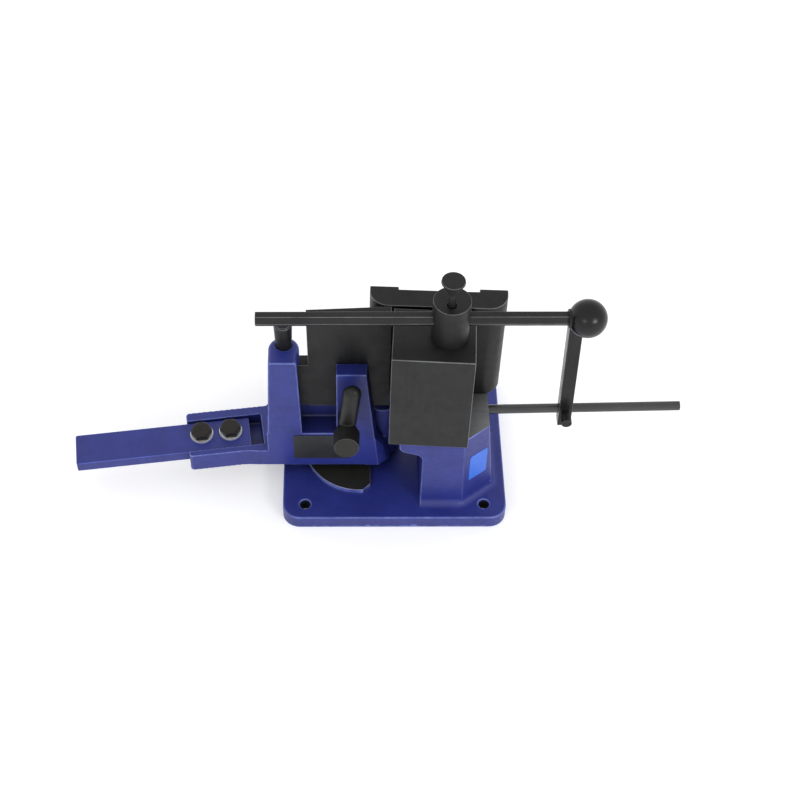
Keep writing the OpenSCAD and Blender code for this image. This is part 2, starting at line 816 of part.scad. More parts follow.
module corner_plate() {
    front = ped_x1 - ped_chamfer;
    lean = atan(ped_front_draft * sin(ped_chamfer_angle) / (table_z - base_t));
    color("royalblue") translate([front, ped_y0, table_z]) rotate([0, 0, ped_chamfer_angle])
        rotate([90 - lean, 0, 0]) translate([badge_along, badge_z0 - table_z, 0])
            rounded_slab(badge_w, badge_h, badge_t, plate_r);
}

module clamp_block() {
    half = cam_offset * (1 - cos(turn_limit)) / 2 + slide_gap;
    color("dimgray") difference() {
        on_block_axes() translate([0, 0, table_z]) cube([block_w, block_d, block_h]);
        translate([ecc_x, ecc_y, table_z - eps]) rotate([0, 0, block_turn])
            translate([-cam_offset * (1 + cos(turn_limit)) / 2, 0, 0]) {
                for (s = [-1, 1]) translate([s * half, 0, 0])
                    cylinder(h = block_h + 2 * eps, r = cam_d / 2 + slide_gap);
                translate([-half, -cam_d / 2 - slide_gap, 0])
                    cube([2 * half, cam_d + 2 * slide_gap, block_h + 2 * eps]);
            }
        on_block_axes()
            translate([key_x - key_w / 2 - slide_gap, (block_d - key_len) / 2 - key_travel, table_z - eps])
                cube([key_w + 2 * slide_gap, key_len + 2 * key_travel, key_h / 2 + air_gap]);
    }
}

module guide_key() {
    color("silver") on_block_axes()
        translate([key_x - key_w / 2, (block_d - key_len) / 2, table_z - key_h / 2]) difference() {
            translate([seat_gap, seat_gap, 0]) cube([key_w - 2 * seat_gap, key_len - 2 * seat_gap, key_h]);
            for (y = [key_len / 4, key_len * 3 / 4]) translate([key_w / 2, y, -eps]) {
                cylinder(h = key_h + 2 * eps, d = key_screw_d + 2 * seat_gap);
                translate([0, 0, key_h / 2]) cylinder(h = key_h, d = key_head_d + 2 * seat_gap);
            }
        }
}

module key_screws() {
    color("dimgray") on_block_axes()
        translate([key_x, (block_d - key_len) / 2, table_z - key_h / 2])
            for (y = [key_len / 4, key_len * 3 / 4]) translate([0, y, 0]) {
                translate([0, 0, -key_screw_len + 1]) cylinder(h = key_screw_len - 1 + key_h / 2, d = key_screw_d);
                translate([0, 0, key_h / 2]) cylinder(h = key_h / 2 - air_gap, d = key_head_d);
            }
}

module former_outline() {
    intersection() {
        square([former_w, former_d]);
        union() {
            translate([0, former_r]) square([former_w, former_d]);
            translate([former_r, 0]) square([former_w - 2 * former_r, former_d]);
            for (x = [former_r, former_w - former_r]) translate([x, former_r]) circle(r = former_r);
        }
    }
}

module former() {
    color("dimgray") on_former_axes() difference() {
        translate([0, 0, table_z]) linear_extrude(former_h) former_outline();
        translate([former_notch_x0, former_d - former_notch, table_z - eps])
            cube([former_notch_x1 - former_notch_x0, former_notch + eps, former_h + 2 * eps]);
        for (x = dowel_xs) translate([x, former_d / 2, table_z - eps])
            cylinder(h = dowel_len / 2 + air_gap, d = dowel_d + 2 * seat_gap);
    }
}

module former_dowels() {
    color("silver") on_former_axes() for (x = dowel_xs)
        translate([x, former_d / 2, table_z - dowel_len / 2]) cylinder(h = dowel_len, d = dowel_d);
}

module eccentric_cam(z0, h) {
    rotate([0, 0, block_turn]) translate([-cam_offset, 0, z0]) cylinder(h = h, d = cam_d);
}

module eccentric_shaft() {
    color("dimgray") difference() {
        translate([ecc_x, ecc_y, 0]) union() {
            translate([0, 0, table_z - journal_len]) cylinder(h = journal_len - air_gap, d = journal_d);
            intersection() {
                translate([0, 0, table_z - web_h]) cylinder(h = 2 * web_h, d = journal_d);
                eccentric_cam(table_z - web_h, 2 * web_h);
            }
            eccentric_cam(table_z + air_gap, block_h + eps);
            translate([0, 0, ecc_head_z0]) cylinder(h = ecc_head_h, d = ecc_head_d);
        }
        translate([0, ecc_y, lever_z]) rotate([0, 90, 0]) cylinder(h = big, d = lever_hole_d);
        translate([thumb_x, thumb_y, lever_z]) cylinder(h = ecc_head_h, d = thumb_d + 2 * run_gap);
        translate([thumb_x, thumb_y, ecc_head_z1 - thumb_sink_h]) cylinder(h = ecc_head_h, d = thumb_sink_d);
    }
}

module lever_bar() {
    color("dimgray") translate([lever_x0, ecc_y, lever_z]) rotate([0, 90, 0]) rotate([0, 0, 30])
        cylinder(h = lever_x1 + lever_seat - lever_x0, d = lever_corner_d, $fn = 6);
}

module ball_knob() {
    color("black") difference() {
        union() {
            translate([ball_x, ecc_y, lever_z]) sphere(d = ball_d);
            translate([lever_x1, ecc_y, lever_z]) rotate([0, 90, 0]) cylinder(h = ball_d / 2, d = neck_d);
        }
        translate([lever_x1 - eps, ecc_y, lever_z]) rotate([0, 90, 0])
            cylinder(h = lever_seat + seat_gap + eps, d = lever_corner_d + 2 * seat_gap);
    }
}

module thumb_screw() {
    head_z = ecc_head_z1 + thumb_rise;
    cone_z = head_z - thumb_head_t - thumb_cone;
    color("dimgray") translate([thumb_x, thumb_y, 0]) {
        translate([0, 0, thumb_z0]) cylinder(h = cone_z - thumb_z0 + thumb_head_t, d = thumb_d);
        translate([0, 0, cone_z]) cylinder(h = thumb_cone + eps, d1 = thumb_neck_d, d2 = thumb_cone_d);
        translate([0, 0, head_z - thumb_head_t]) cylinder(h = thumb_head_t, d = thumb_head_d);
    }
}

module stop_rod() {
    color("dimgray") on_rod_axis() translate([-rod_seat, 0, 0]) rotate([0, 90, 0])
        cylinder(h = (rod_x1 - ped_x1) / cos(rod_rise) + rod_seat, d = rod_d);
}

module rod_screw() {
    color("dimgray") translate([rod_screw_x, rod_y + rod_d / 2 + run_gap, rod_z]) rotate([-90, 0, 0]) {
        cylinder(h = ped_y1 - rod_y - rod_d / 2 + rod_screw_head_h, d = rod_screw_d);
        translate([0, 0, ped_y1 - rod_y - rod_d / 2 + air_gap])
            cylinder(h = rod_screw_head_h, d = rod_screw_head_d);
    }
}

module stop_arm() {
    color("dimgray") on_rod_axis() translate([arm_x_local, 0, 0]) difference() {
        translate([-arm_w / 2, -arm_w / 2, -arm_drop]) cube([arm_w, arm_w, arm_z1 - rod_z + arm_drop]);
        translate([-arm_w, 0, 0]) rotate([0, 90, 0]) cylinder(h = 2 * arm_w, d = rod_d + 2 * run_gap);
        rotate([90, 0, 0]) cylinder(h = arm_w, d = stop_screw_d + 2 * run_gap);
    }
}

module stop_screw() {
    tip = (arm_w - rod_d) / 2;
    color("dimgray") on_rod_axis() translate([arm_x_local, -rod_d / 2 - run_gap, 0]) rotate([90, 0, 0]) {
        cylinder(h = tip + stop_collar_len, d = stop_screw_d);
        translate([0, 0, tip]) cylinder(h = stop_collar_len, d = stop_collar_d);
        translate([0, 0, tip + stop_collar_len]) cylinder(h = stop_head_len, d = stop_head_d);
    }
}

base_casting();
pivot_shaft();
thrust_washer();
hub_bushes();
swing_yoke();
hinge_pin();
bending_wing();
clamp_screw();
clamp_lever();
clamp_cap();
handle_bar();
handle_bolts();
handle_washers();
handle_nuts();
name_plate();
corner_plate();
clamp_block();
guide_key();
key_screws();
former();
former_dowels();
eccentric_shaft();
lever_bar();
ball_knob();
thumb_screw();
stop_rod();
rod_screw();
stop_arm();
stop_screw();
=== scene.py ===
"""Bench bending machine: cast skins, machined pieces, fasteners, finishes and the studio."""

import json
import logging
import math
from dataclasses import dataclass, field
from enum import Enum
from typing import Callable, Iterable, Optional, Sequence

import bmesh
import bpy
from mathutils import Matrix, Vector

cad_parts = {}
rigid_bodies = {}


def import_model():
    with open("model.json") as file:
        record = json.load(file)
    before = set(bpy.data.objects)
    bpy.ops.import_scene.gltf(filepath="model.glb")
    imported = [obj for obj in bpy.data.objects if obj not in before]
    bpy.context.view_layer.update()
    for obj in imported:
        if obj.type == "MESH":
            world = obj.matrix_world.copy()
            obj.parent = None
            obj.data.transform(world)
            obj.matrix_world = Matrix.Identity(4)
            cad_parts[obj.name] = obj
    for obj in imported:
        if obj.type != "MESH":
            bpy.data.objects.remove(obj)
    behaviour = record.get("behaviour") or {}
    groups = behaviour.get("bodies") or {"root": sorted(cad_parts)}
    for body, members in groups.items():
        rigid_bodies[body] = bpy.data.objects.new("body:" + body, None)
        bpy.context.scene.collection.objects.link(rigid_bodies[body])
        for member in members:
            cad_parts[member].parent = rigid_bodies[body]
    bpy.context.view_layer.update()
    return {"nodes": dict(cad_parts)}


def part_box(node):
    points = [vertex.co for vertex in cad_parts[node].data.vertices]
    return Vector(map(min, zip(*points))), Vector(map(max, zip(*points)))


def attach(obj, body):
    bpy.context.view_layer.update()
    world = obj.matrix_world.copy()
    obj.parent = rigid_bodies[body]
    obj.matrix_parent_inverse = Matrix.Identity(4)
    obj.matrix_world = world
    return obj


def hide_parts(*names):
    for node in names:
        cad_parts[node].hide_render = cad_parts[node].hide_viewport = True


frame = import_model()

MM = 0.001
LOG = logging.getLogger("bending_machine")
Colour = tuple[float, float, float]
Point = tuple[float, float, float]
Profile = Sequence[tuple[float, float]]
Socket = bpy.types.NodeSocket
Piece = bpy.types.Object
Finish = bpy.types.Material


class Slot(Enum):
    """The record's material slots."""

    CAST = "cast_blue"
    BAR = "bar_blue"
    TOOL = "tool_black"
    FASTENER = "fastener_black"
    BRIGHT = "bright_steel"
    MOULDED = "moulded_black"
    GLOSS = "gloss_black"
    PLATE = "plate_black"
    FILM = "film_blue"


class EdgeRound(Enum):
    """How far the edges of a machined piece are rounded, in millimetres, and in how many steps."""

    BLOCK = (0.7, 2)
    BAR = (0.6, 2)
    FINE = (0.35, 2)
    PLATE = (0.22, 2)


class Axis(Enum):
    """The direction of a turned piece's axis, as a turn from Z."""

    UP = Matrix.Identity(3)
    RIGHT = Matrix.Rotation(math.radians(90), 3, "Y")


def to_linear(rgb: Sequence[float]) -> Colour:
    """Turns a display colour of 0 to 255 into linear light.

    Args:
        rgb: The three display values.

    Returns:
        The three linear values of 0 to 1.
    """
    out = []
    for value in rgb:
        v = value / 255.0
        out.append(v / 12.92 if v <= 0.04045 else ((v + 0.055) / 1.055) ** 2.4)
    return (out[0], out[1], out[2])


def tones(low: Sequence[float], high: Sequence[float]) -> tuple[Colour, Colour]:
    """Turns two display colours into linear light."""
    return to_linear(low), to_linear(high)


class NodeBench:
    """Builds one material's nodes on a Principled shader, with patterns in Object coordinates."""

    def __init__(self, name: str) -> None:
        """Makes an empty material with a Principled shader.

        Args:
            name: The material's name.
        """
        self.material = bpy.data.materials.new(name)
        self.material.use_nodes = True
        self.tree = self.material.node_tree
        self.shader = self.tree.nodes["Principled BSDF"]
        self.coords = self.tree.nodes.new("ShaderNodeTexCoord").outputs["Object"]

    def set(self, socket: str, value: object) -> None:
        """Sets one plain value on the shader."""
        self.shader.inputs[socket].default_value = value

    def stretched(self, scale: Point) -> Socket:
        """Gives the coordinates stretched by a scale for each axis."""
        node = self.tree.nodes.new("ShaderNodeMapping")
        node.inputs["Scale"].default_value = scale
        self.tree.links.new(self.coords, node.inputs["Vector"])
        return node.outputs["Vector"]

    def noise(self, scale: float, detail: float = 3.0, roughness: float = 0.55,
              stretch: Optional[Point] = None) -> Socket:
        """Adds a noise pattern.

        Args:
            scale: How many features there are in a metre.
            detail: How many finer layers are added.
            roughness: How strong the finer layers are.
            stretch: The scale of each axis, where the grain has a direction.

        Returns:
            The pattern's value.
        """
        node = self.tree.nodes.new("ShaderNodeTexNoise")
        node.inputs["Scale"].default_value = scale
        node.inputs["Detail"].default_value = detail
        node.inputs["Roughness"].default_value = roughness
        self.tree.links.new(self.stretched(stretch) if stretch else self.coords, node.inputs["Vector"])
        return node.outputs["Fac"]

    def cells(self, scale: float) -> Socket:
        """Adds a pattern of rounded cells, as sand leaves on a casting."""
        node = self.tree.nodes.new("ShaderNodeTexVoronoi")
        node.feature = "SMOOTH_F1"
        node.inputs["Scale"].default_value = scale
        self.tree.links.new(self.coords, node.inputs["Vector"])
        return node.outputs["Distance"]

    def edges(self, low: float, high: float) -> Socket:
        """Gives 0 below and 1 above two measures of how the mesh bends; flat faces have 0.5."""
        geometry = self.tree.nodes.new("ShaderNodeNewGeometry")
        return self.spread(geometry.outputs["Pointiness"], low, high, 0.0, 1.0)

    def hollows(self, reach: float, low: float, high: float) -> Socket:
        """Gives 0 deep in hollows and 1 on open faces.

        Args:
            reach: How far away a neighbouring face still counts, in metres.
            low: The openness that gives 0.
            high: The openness that gives 1.

        Returns:
            The openness.
        """
        node = self.tree.nodes.new("ShaderNodeAmbientOcclusion")
        node.samples = 8
        node.inputs["Distance"].default_value = reach
        return self.spread(node.outputs["AO"], low, high, 0.0, 1.0)

    def spread(self, value: Socket, low: float, high: float, to_low: float, to_high: float) -> Socket:
        """Maps a value from one range to another, held at the ends.

        Args:
            value: The value to map.
            low: The start of its range.
            high: The end of its range.
            to_low: The result at the start.
            to_high: The result at the end.

        Returns:
            The mapped value.
        """
        node = self.tree.nodes.new("ShaderNodeMapRange")
        for key, number in zip(("From Min", "From Max", "To Min", "To Max"), (low, high, to_low, to_high)):
            node.inputs[key].default_value = number
        self.tree.links.new(value, node.inputs["Value"])
        return node.outputs["Result"]

    def times(self, first: Socket, second: Socket) -> Socket:
        """Multiplies two values."""
        node = self.tree.nodes.new("ShaderNodeMath")
        node.operation = "MULTIPLY"
        self.tree.links.new(first, node.inputs[0])
        self.tree.links.new(second, node.inputs[1])
        return node.outputs[0]

    def blend(self, factor: Socket, first: Colour | Socket, second: Colour | Socket) -> Socket:
        """Mixes two colours by a factor.

        Args:
            factor: How much of the second colour there is.
            first: The colour at 0, plain or from another node.
            second: The colour at 1, plain or from another node.

        Returns:
            The mixed colour.
        """
        node = self.tree.nodes.new("ShaderNodeMix")
        node.data_type = "RGBA"
        for slot, colour in ((6, first), (7, second)):
            if isinstance(colour, tuple):
                node.inputs[slot].default_value = (*colour, 1.0)
            else:
                self.tree.links.new(colour, node.inputs[slot])
        self.tree.links.new(factor, node.inputs[0])
        return node.outputs[2]

    def colour(self, value: Socket) -> None:
        """Gives the shader its base colour."""
        self.tree.links.new(value, self.shader.inputs["Base Color"])

    def rough(self, factor: Socket, low: float, high: float) -> None:
        """Lets the roughness vary between two values by a factor."""
        self.tree.links.new(self.spread(factor, 0.3, 0.7, low, high), self.shader.inputs["Roughness"])

    def relief(self, layers: Sequence[tuple[Socket, float]]) -> None:
        """Adds surface relief.

        Args:
            layers: Each pattern with its height in metres.
        """
        last = None
        for height, depth in layers:
            node = self.tree.nodes.new("ShaderNodeBump")
            node.inputs["Strength"].default_value = 1.0
            node.inputs["Distance"].default_value = depth
            self.tree.links.new(height, node.inputs["Height"])
            if last is not None:
                self.tree.links.new(last, node.inputs["Normal"])
            last = node.outputs["Normal"]
        self.tree.links.new(last, self.shader.inputs["Normal"])


@dataclass(frozen=True)
class CastPaint:
    """Blue paint on a sand casting: lighter on edges, partly worn paint and partly painted highlight; darker in
    creases and hollows, painted shade.
    """

    name: str
    deep: Colour
    light: Colour
    # lighter edge colour: partly worn paint, partly painted highlight
    edge: Colour
    # painted shade colour for creases and hollows
    corner: Colour
    grain: float = 0.00010
    gloss: tuple[float, float] = (0.42, 0.56)
    # also turns on the painted highlight on edges and the painted shade in creases
    worn: bool = True

    def build(self) -> Finish:
        """Makes the paint's material."""
        bench = NodeBench(self.name)
        cloud = bench.spread(bench.noise(38.0, 3.0), 0.35, 0.68, 0.0, 1.0)
        tone = bench.blend(cloud, self.deep, self.light)
        if self.worn:
            patchy = bench.spread(bench.noise(70.0, 3.0), 0.25, 0.6, 0.35, 0.95)
            # painted shade: concave creases blend toward the shade colour
            tone = bench.blend(bench.edges(0.455, 0.492), self.corner, tone)
            # edges lighter in patches: partly worn paint, partly painted highlight
            tone = bench.blend(bench.times(bench.edges(0.508, 0.545), patchy), tone, self.edge)
        # painted shade: hollows found by an ambient occlusion test blend toward the shade colour
        bench.colour(bench.blend(bench.hollows(0.065, 0.05, 0.55), self.corner, tone))
        bench.rough(bench.noise(160.0, 3.0), *self.gloss)
        bench.set("IOR", 1.48)
        bench.set("Coat Weight", 0.12)
        bench.set("Coat Roughness", 0.25)
        bench.relief([(bench.noise(230.0, 2.0), self.grain), (bench.cells(900.0), self.grain * 0.22)])
        return bench.material


@dataclass(frozen=True)
class ToolSteel:
    """Blackened ground steel with fine grinding lines along one axis, darker in hollows as painted shade."""

    name: str
    dark: Colour
    worn: Colour
    grain: Point = (1.0, 1.0, 1.0)
    metal: float = 0.1
    gloss: tuple[float, float] = (0.40, 0.56)
    lines: float = 0.000018
    shine: float = 0.32
    # painted shade colour for hollows
    deep: Colour = (0.002, 0.002, 0.002)

    def build(self) -> Finish:
        """Makes the steel's material."""
        bench = NodeBench(self.name)
        cloud = bench.spread(bench.noise(26.0, 4.0, 0.6), 0.36, 0.70, 0.0, 0.75)
        streaks = bench.spread(bench.noise(300.0, 2.0, 0.5, self.grain), 0.45, 0.75, 0.0, 0.5)
        tone = bench.blend(streaks, bench.blend(cloud, self.dark, self.worn), self.worn)
        # painted shade: hollows found by an ambient occlusion test blend toward the shade colour
        bench.colour(bench.blend(bench.hollows(0.09, 0.05, 0.62), self.deep, tone))
        bench.rough(bench.noise(90.0, 4.0, 0.6), *self.gloss)
        bench.set("Metallic", self.metal)
        bench.set("Specular IOR Level", self.shine)
        bench.relief([(bench.noise(420.0, 2.0, 0.5, self.grain), self.lines)])
        return bench.material


@dataclass(frozen=True)
class BrightMetal:
    """Turned, ground or plated bright metal."""

    name: str
    tone: Colour
    dull: Colour
    grain: Point = (1.0, 1.0, 1.0)
    gloss: tuple[float, float] = (0.22, 0.38)
    metal: float = 1.0

    def build(self) -> Finish:
        """Makes the metal's material."""
        bench = NodeBench(self.name)
        cloud = bench.spread(bench.noise(60.0, 4.0), 0.3, 0.7, 0.0, 1.0)
        bench.colour(bench.blend(cloud, self.tone, self.dull))
        bench.rough(bench.noise(240.0, 3.0), *self.gloss)
        bench.set("Metallic", self.metal)
        bench.relief([(bench.noise(600.0, 2.0, 0.5, self.grain), 0.000012)])
        return bench.material


@dataclass(frozen=True)
class Moulded:
    """Moulded plastic or enamel: a tone, a fine surface texture and a gloss."""

    name: str
    dark: Colour
    light: Colour
    gloss: tuple[float, float]
    texture: float = 0.00002
    texture_scale: float = 1600.0
    coat: float = 0.0
    shine: float = 0.5

    def build(self) -> Finish:
        """Makes the moulding's material."""
        bench = NodeBench(self.name)
        cloud = bench.spread(bench.noise(45.0, 3.0), 0.35, 0.68, 0.0, 1.0)
        bench.colour(bench.blend(cloud, self.dark, self.light))
        bench.rough(bench.noise(120.0, 3.0), *self.gloss)
        bench.set("Specular IOR Level", self.shine)
        bench.set("Coat Weight", self.coat)
        bench.set("Coat Roughness", 0.08)
        bench.relief([(bench.noise(self.texture_scale, 2.0), self.texture)])
        return bench.material


class Palette:
    """Every finish of the machine, built once."""

    def __init__(self) -> None:
        """Builds the materials."""
        blue = to_linear((30, 40, 118))
        blue_light = to_linear((36, 47, 130))
        # edge colour of the cast paint: partly worn paint, partly painted highlight
        thin = to_linear((112, 126, 200))
        # painted shade colour for the castings' creases and hollows
        deep = to_linear((8, 14, 58))
        self.cast = CastPaint("cast_paint", blue, blue_light, thin, deep).build()
        # a lighter copy of the blue for the pad's front and left walls: painted light
        self.wall = CastPaint("pad_wall_paint_lit", *tones((44, 52, 150), (52, 60, 160)), thin,
                              deep).build()
        self.bar = CastPaint("bar_paint", blue, blue_light, thin, deep, 0.00004, worn=False).build()
        # a lighter copy of the bar's blue for its rounded edges: painted highlight
        self.bar_edge_highlight = CastPaint("bar_paint_edge_highlight", *tones((60, 74, 162), (84, 98, 184)), thin, deep,
                                  0.00004, worn=False).build()
        dark, worn = to_linear((22, 22, 22)), to_linear((33, 33, 33))
        self.tool = ToolSteel("tool_steel", dark, worn, (1.0, 1.0, 0.06)).build()
        # a lighter steel for the rounded edges of machined pieces: partly rubbed steel, partly painted
        # highlight
        self.tool_edge_rubbed_highlight = ToolSteel("tool_steel_rubbed_edge_highlight", *tones((84, 85, 87), (136, 137, 138)),
                                   metal=0.6, gloss=(0.26, 0.38), shine=0.5).build()
        self.lever = ToolSteel("lever_steel", *tones((25, 25, 25), (38, 38, 38)),
                               (0.05, 1.0, 1.0)).build()
        self.drawn = ToolSteel("drawn_steel", *tones((26, 26, 26), (38, 38, 38)), (1.0, 1.0, 0.05),
                               gloss=(0.22, 0.32), shine=0.2).build()
        self.rod = ToolSteel("rod_steel", *tones((36, 36, 37), (52, 52, 53)), (0.05, 1.0, 1.0),
                             gloss=(0.20, 0.30), shine=0.8).build()
        self.table = ToolSteel("machined_iron", *tones((122, 123, 125), (152, 153, 155)),
                               (0.08, 1.0, 1.0), 0.4, (0.40, 0.56), shine=0.5).build()
        self.pad = ToolSteel("pad_iron", *tones((34, 34, 29), (44, 44, 38)),
                             gloss=(0.42, 0.58)).build()
        # a light, bluish finish for the pad's rounded edges: painted highlight
        self.pad_rim_highlight = ToolSteel("pad_rim_iron", *tones((140, 141, 168), (176, 177, 206)), metal=0.3,
                                 gloss=(0.30, 0.42), shine=0.5).build()
        # a dark finish for the walls of the fixing holes: painted shade
        self.bore = ToolSteel("bore_shade_iron", *tones((34, 38, 62), (44, 48, 74)), metal=0.0,
                              gloss=(0.6, 0.8), shine=0.1).build()
        self.oxide = ToolSteel("black_oxide", *tones((32, 30, 28), (46, 43, 40)), metal=0.3,
                               gloss=(0.34, 0.48)).build()
        # a lighter oxide for the rounded edges of fasteners and the name plate: partly rubbed metal, partly
        # painted highlight
        self.oxide_edge_rubbed_highlight = ToolSteel("black_oxide_edge", *tones((60, 58, 55), (92, 90, 86)),
                                    metal=0.5, gloss=(0.28, 0.40), shine=0.5).build()
        self.bright = BrightMetal("bright_steel", *tones((212, 214, 217), (188, 190, 195)),
                                  metal=0.55).build()
        self.bronze = BrightMetal("bearing_bronze", *tones((196, 160, 102), (172, 134, 80))).build()
        self.moulded = Moulded("moulded_black", *tones((23, 23, 22), (29, 29, 28)),
                               (0.36, 0.48), shine=0.28).build()
        self.disc = Moulded("moulded_disc", *tones((31, 30, 29), (37, 36, 34)), (0.46, 0.58),
                            shine=0.3).build()
        # a lighter grey for the rounded edges of the moulded cap: painted highlight
        self.rim = Moulded("moulded_rim_highlight", *tones((78, 80, 78), (104, 106, 103)), (0.3, 0.4)).build()
        self.gloss = Moulded("gloss_black", *tones((13, 13, 14), (17, 17, 19)), (0.24, 0.31),
                             0.000004, 500.0, 0.05, 0.3).build()
        self.plate = Moulded("plate_enamel", *tones((32, 33, 34), (38, 39, 41)), (0.38, 0.50),
                             0.00001, 900.0).build()
        self.film = Moulded("film_blue", *tones((44, 100, 210), (54, 112, 220)), (0.34, 0.44),
                            0.000005, 700.0).build()


class Workshop:
    """Makes finished meshes from CAD nodes and turned profiles, and hands them to the frame."""

    def __init__(self, palette: Palette) -> None:
        """Keeps the finishes.

        Args:
            palette: The machine's finishes.
        """
        self.palette = palette

    @staticmethod
    def add(name: str, mesh: bpy.types.Mesh) -> Piece:
        """Puts a mesh in the scene as a new object."""
        piece = bpy.data.objects.new(name, mesh)
        bpy.context.scene.collection.objects.link(piece)
        return piece

    def from_bmesh(self, name: str, work: bmesh.types.BMesh, *finishes: Finish) -> Piece:
        """Makes an object of a bmesh, which is freed.

        Args:
            name: The object's name.
            work: The mesh.
            finishes: The materials of its faces, in order.

        Returns:
            The object.
        """
        mesh = bpy.data.meshes.new(name)
        work.to_mesh(mesh)
        work.free()
        for finish in finishes:
            mesh.materials.append(finish)
        return self.add(name, mesh)

    @staticmethod
    def merged_copy(node: str) -> bmesh.types.BMesh:
        """Copies a CAD node with its doubles merged."""
        work = bmesh.new()
        work.from_mesh(frame["nodes"][node].data)
        bmesh.ops.remove_doubles(work, verts=work.verts, dist=2e-6)
        return work

    @staticmethod
    def settle(piece: Piece) -> Piece:
        """Turns a piece's modifiers into a plain mesh and gives the piece back."""
        bpy.context.view_layer.update()
        graph = bpy.context.evaluated_depsgraph_get()
        mesh = bpy.data.meshes.new_from_object(piece.evaluated_get(graph), preserve_all_data_layers=True,
                                               depsgraph=graph)
        piece.modifiers.clear()
        piece.data = mesh
        return piece

    def cast_skin(self, name: str, work: bmesh.types.BMesh, voxel: float, rounds: int, keep: float,
                  *finishes: Finish) -> Piece:
        """Gives a shape the soft edges and fillets of a sand casting.

        Args:
            name: The piece's name.
            work: The shape, which is freed.
            voxel: The size of the remesh in millimetres.
            rounds: How often it is smoothed.
            keep: The share of faces that is kept at the end.
            finishes: The materials of its faces.

        Returns:
            The piece, smooth all over.
        """
        piece = self.from_bmesh(name, work, *finishes)
        remesh = piece.modifiers.new("Remesh", "REMESH")
        remesh.mode = "VOXEL"
        remesh.voxel_size = voxel * MM
        remesh.use_smooth_shade = True
        smooth = piece.modifiers.new("Soften", "SMOOTH")
        smooth.factor = 0.5
        smooth.iterations = rounds
        thin = piece.modifiers.new("Thin", "DECIMATE")
        thin.ratio = keep
        return self.settle(piece)

    def faced(self, piece: Piece, place: Point, normal: Point, finish: int) -> Piece:
        """Cuts a piece off at a plane, as a milling cutter does, and closes it with a flat face.

        Args:
            piece: The piece.
            place: A point on the plane, in millimetres.
            normal: The direction of what is cut away.
            finish: The material index of the new face.

        Returns:
            The same piece.
        """
        work = bmesh.new()
        work.from_mesh(piece.data)
        cut = bmesh.ops.bisect_plane(work, geom=work.verts[:] + work.edges[:] + work.faces[:], dist=1e-7,
                                     plane_co=Vector(place) * MM, plane_no=normal, clear_outer=True)
        rim = [item for item in cut["geom_cut"] if isinstance(item, bmesh.types.BMEdge)]
        fill = bmesh.ops.triangle_fill(work, use_beauty=True, use_dissolve=False, edges=rim, normal=normal)
        for item in fill["geom"]:
            if isinstance(item, bmesh.types.BMFace):
                item.material_index = finish
                item.smooth = False
                if item.normal.dot(Vector(normal)) < 0:
                    item.normal_flip()
        for edge in rim:
            edge.smooth = False
        work.to_mesh(piece.data)
        work.free()
        return piece

    def rounded(self, piece: Piece, style: EdgeRound, edge_index: int = 1) -> Piece:
        """Rounds the sharp edges of a piece and settles it.

        Args:
            piece: The piece.
            style: How far its edges are rounded.
            edge_index: The material index of the rounded edges.

        Returns:
            The same piece.
        """
        width, steps = style.value
        bevel = piece.modifiers.new("Round", "BEVEL")
        bevel.width = width * MM
        bevel.segments = steps
        bevel.limit_method = "ANGLE"
        bevel.angle_limit = math.radians(32)
        bevel.use_clamp_overlap = False
        bevel.material = edge_index
        bevel.harden_normals = True
        piece.modifiers.new("Even", "WEIGHTED_NORMAL").keep_sharp = True
        return self.settle(piece)

    def machined(self, node: str, style: EdgeRound, finish: Finish, edge: Finish) -> Piece:
        """Copies a CAD node and rounds its edges.

        Args:
            node: The CAD node.
            style: How far its edges are rounded.
            finish: The finish of its faces.
            edge: The finish of its rounded edges.

        Returns:
            The piece.
        """
        work = self.merged_copy(node)
        for face in work.faces:
            face.smooth = True
        return self.rounded(self.from_bmesh(f"{node}_piece", work, finish, edge), style)

    def turned(self, name: str, profile: Profile, axis: Axis, place: Point, style: Optional[EdgeRound],
               *finishes: Finish, steps: int = 96) -> Piece:
        """Turns a profile into a round piece, as a lathe does.

        Args:
            name: The piece's name.
            profile: Pairs of a height along the axis and a radius, in millimetres, from end to end.
            axis: The axis it is turned about.
            place: The axis's starting point in millimetres.
            style: How far its sharp edges are rounded, or None.
            finishes: The materials of its faces and edges.
            steps: The number of faces round it.

        Returns:
            The piece.
        """
        work = bmesh.new()
        rings = []
        for height, radius in profile:
            count = 1 if radius == 0 else steps
            ring = [Vector((radius * math.cos(2 * math.pi * i / steps),
                            radius * math.sin(2 * math.pi * i / steps), height)) for i in range(count)]
            rings.append([work.verts.new((Vector(place) + axis.value @ point) * MM) for point in ring])
        for low, high in zip(rings, rings[1:]):
            for i in range(steps):
                j = (i + 1) % steps
                corners = [low[i % len(low)], low[j % len(low)], high[j % len(high)], high[i % len(high)]]
                work.faces.new(list(dict.fromkeys(corners))).smooth = True
        bmesh.ops.recalc_face_normals(work, faces=work.faces)
        piece = self.from_bmesh(name, work, *finishes)
        return self.rounded(piece, style) if style else piece

    def hand_over(self, piece: Piece, body: str, slot: Slot, *nodes: str) -> Piece:
        """Hands a finished piece to the frame and reports it.

        Args:
            piece: The piece.
            body: The CAD body that it moves with.
            slot: The record's material slot; not used.
            nodes: The CAD nodes that it stands for.

        Returns:
            The same piece.
        """
        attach(piece, body)
        if nodes:
            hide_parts(*nodes)
        LOG.info("%s: %d faces on %s", piece.name, len(piece.data.polygons), body)
        return piece


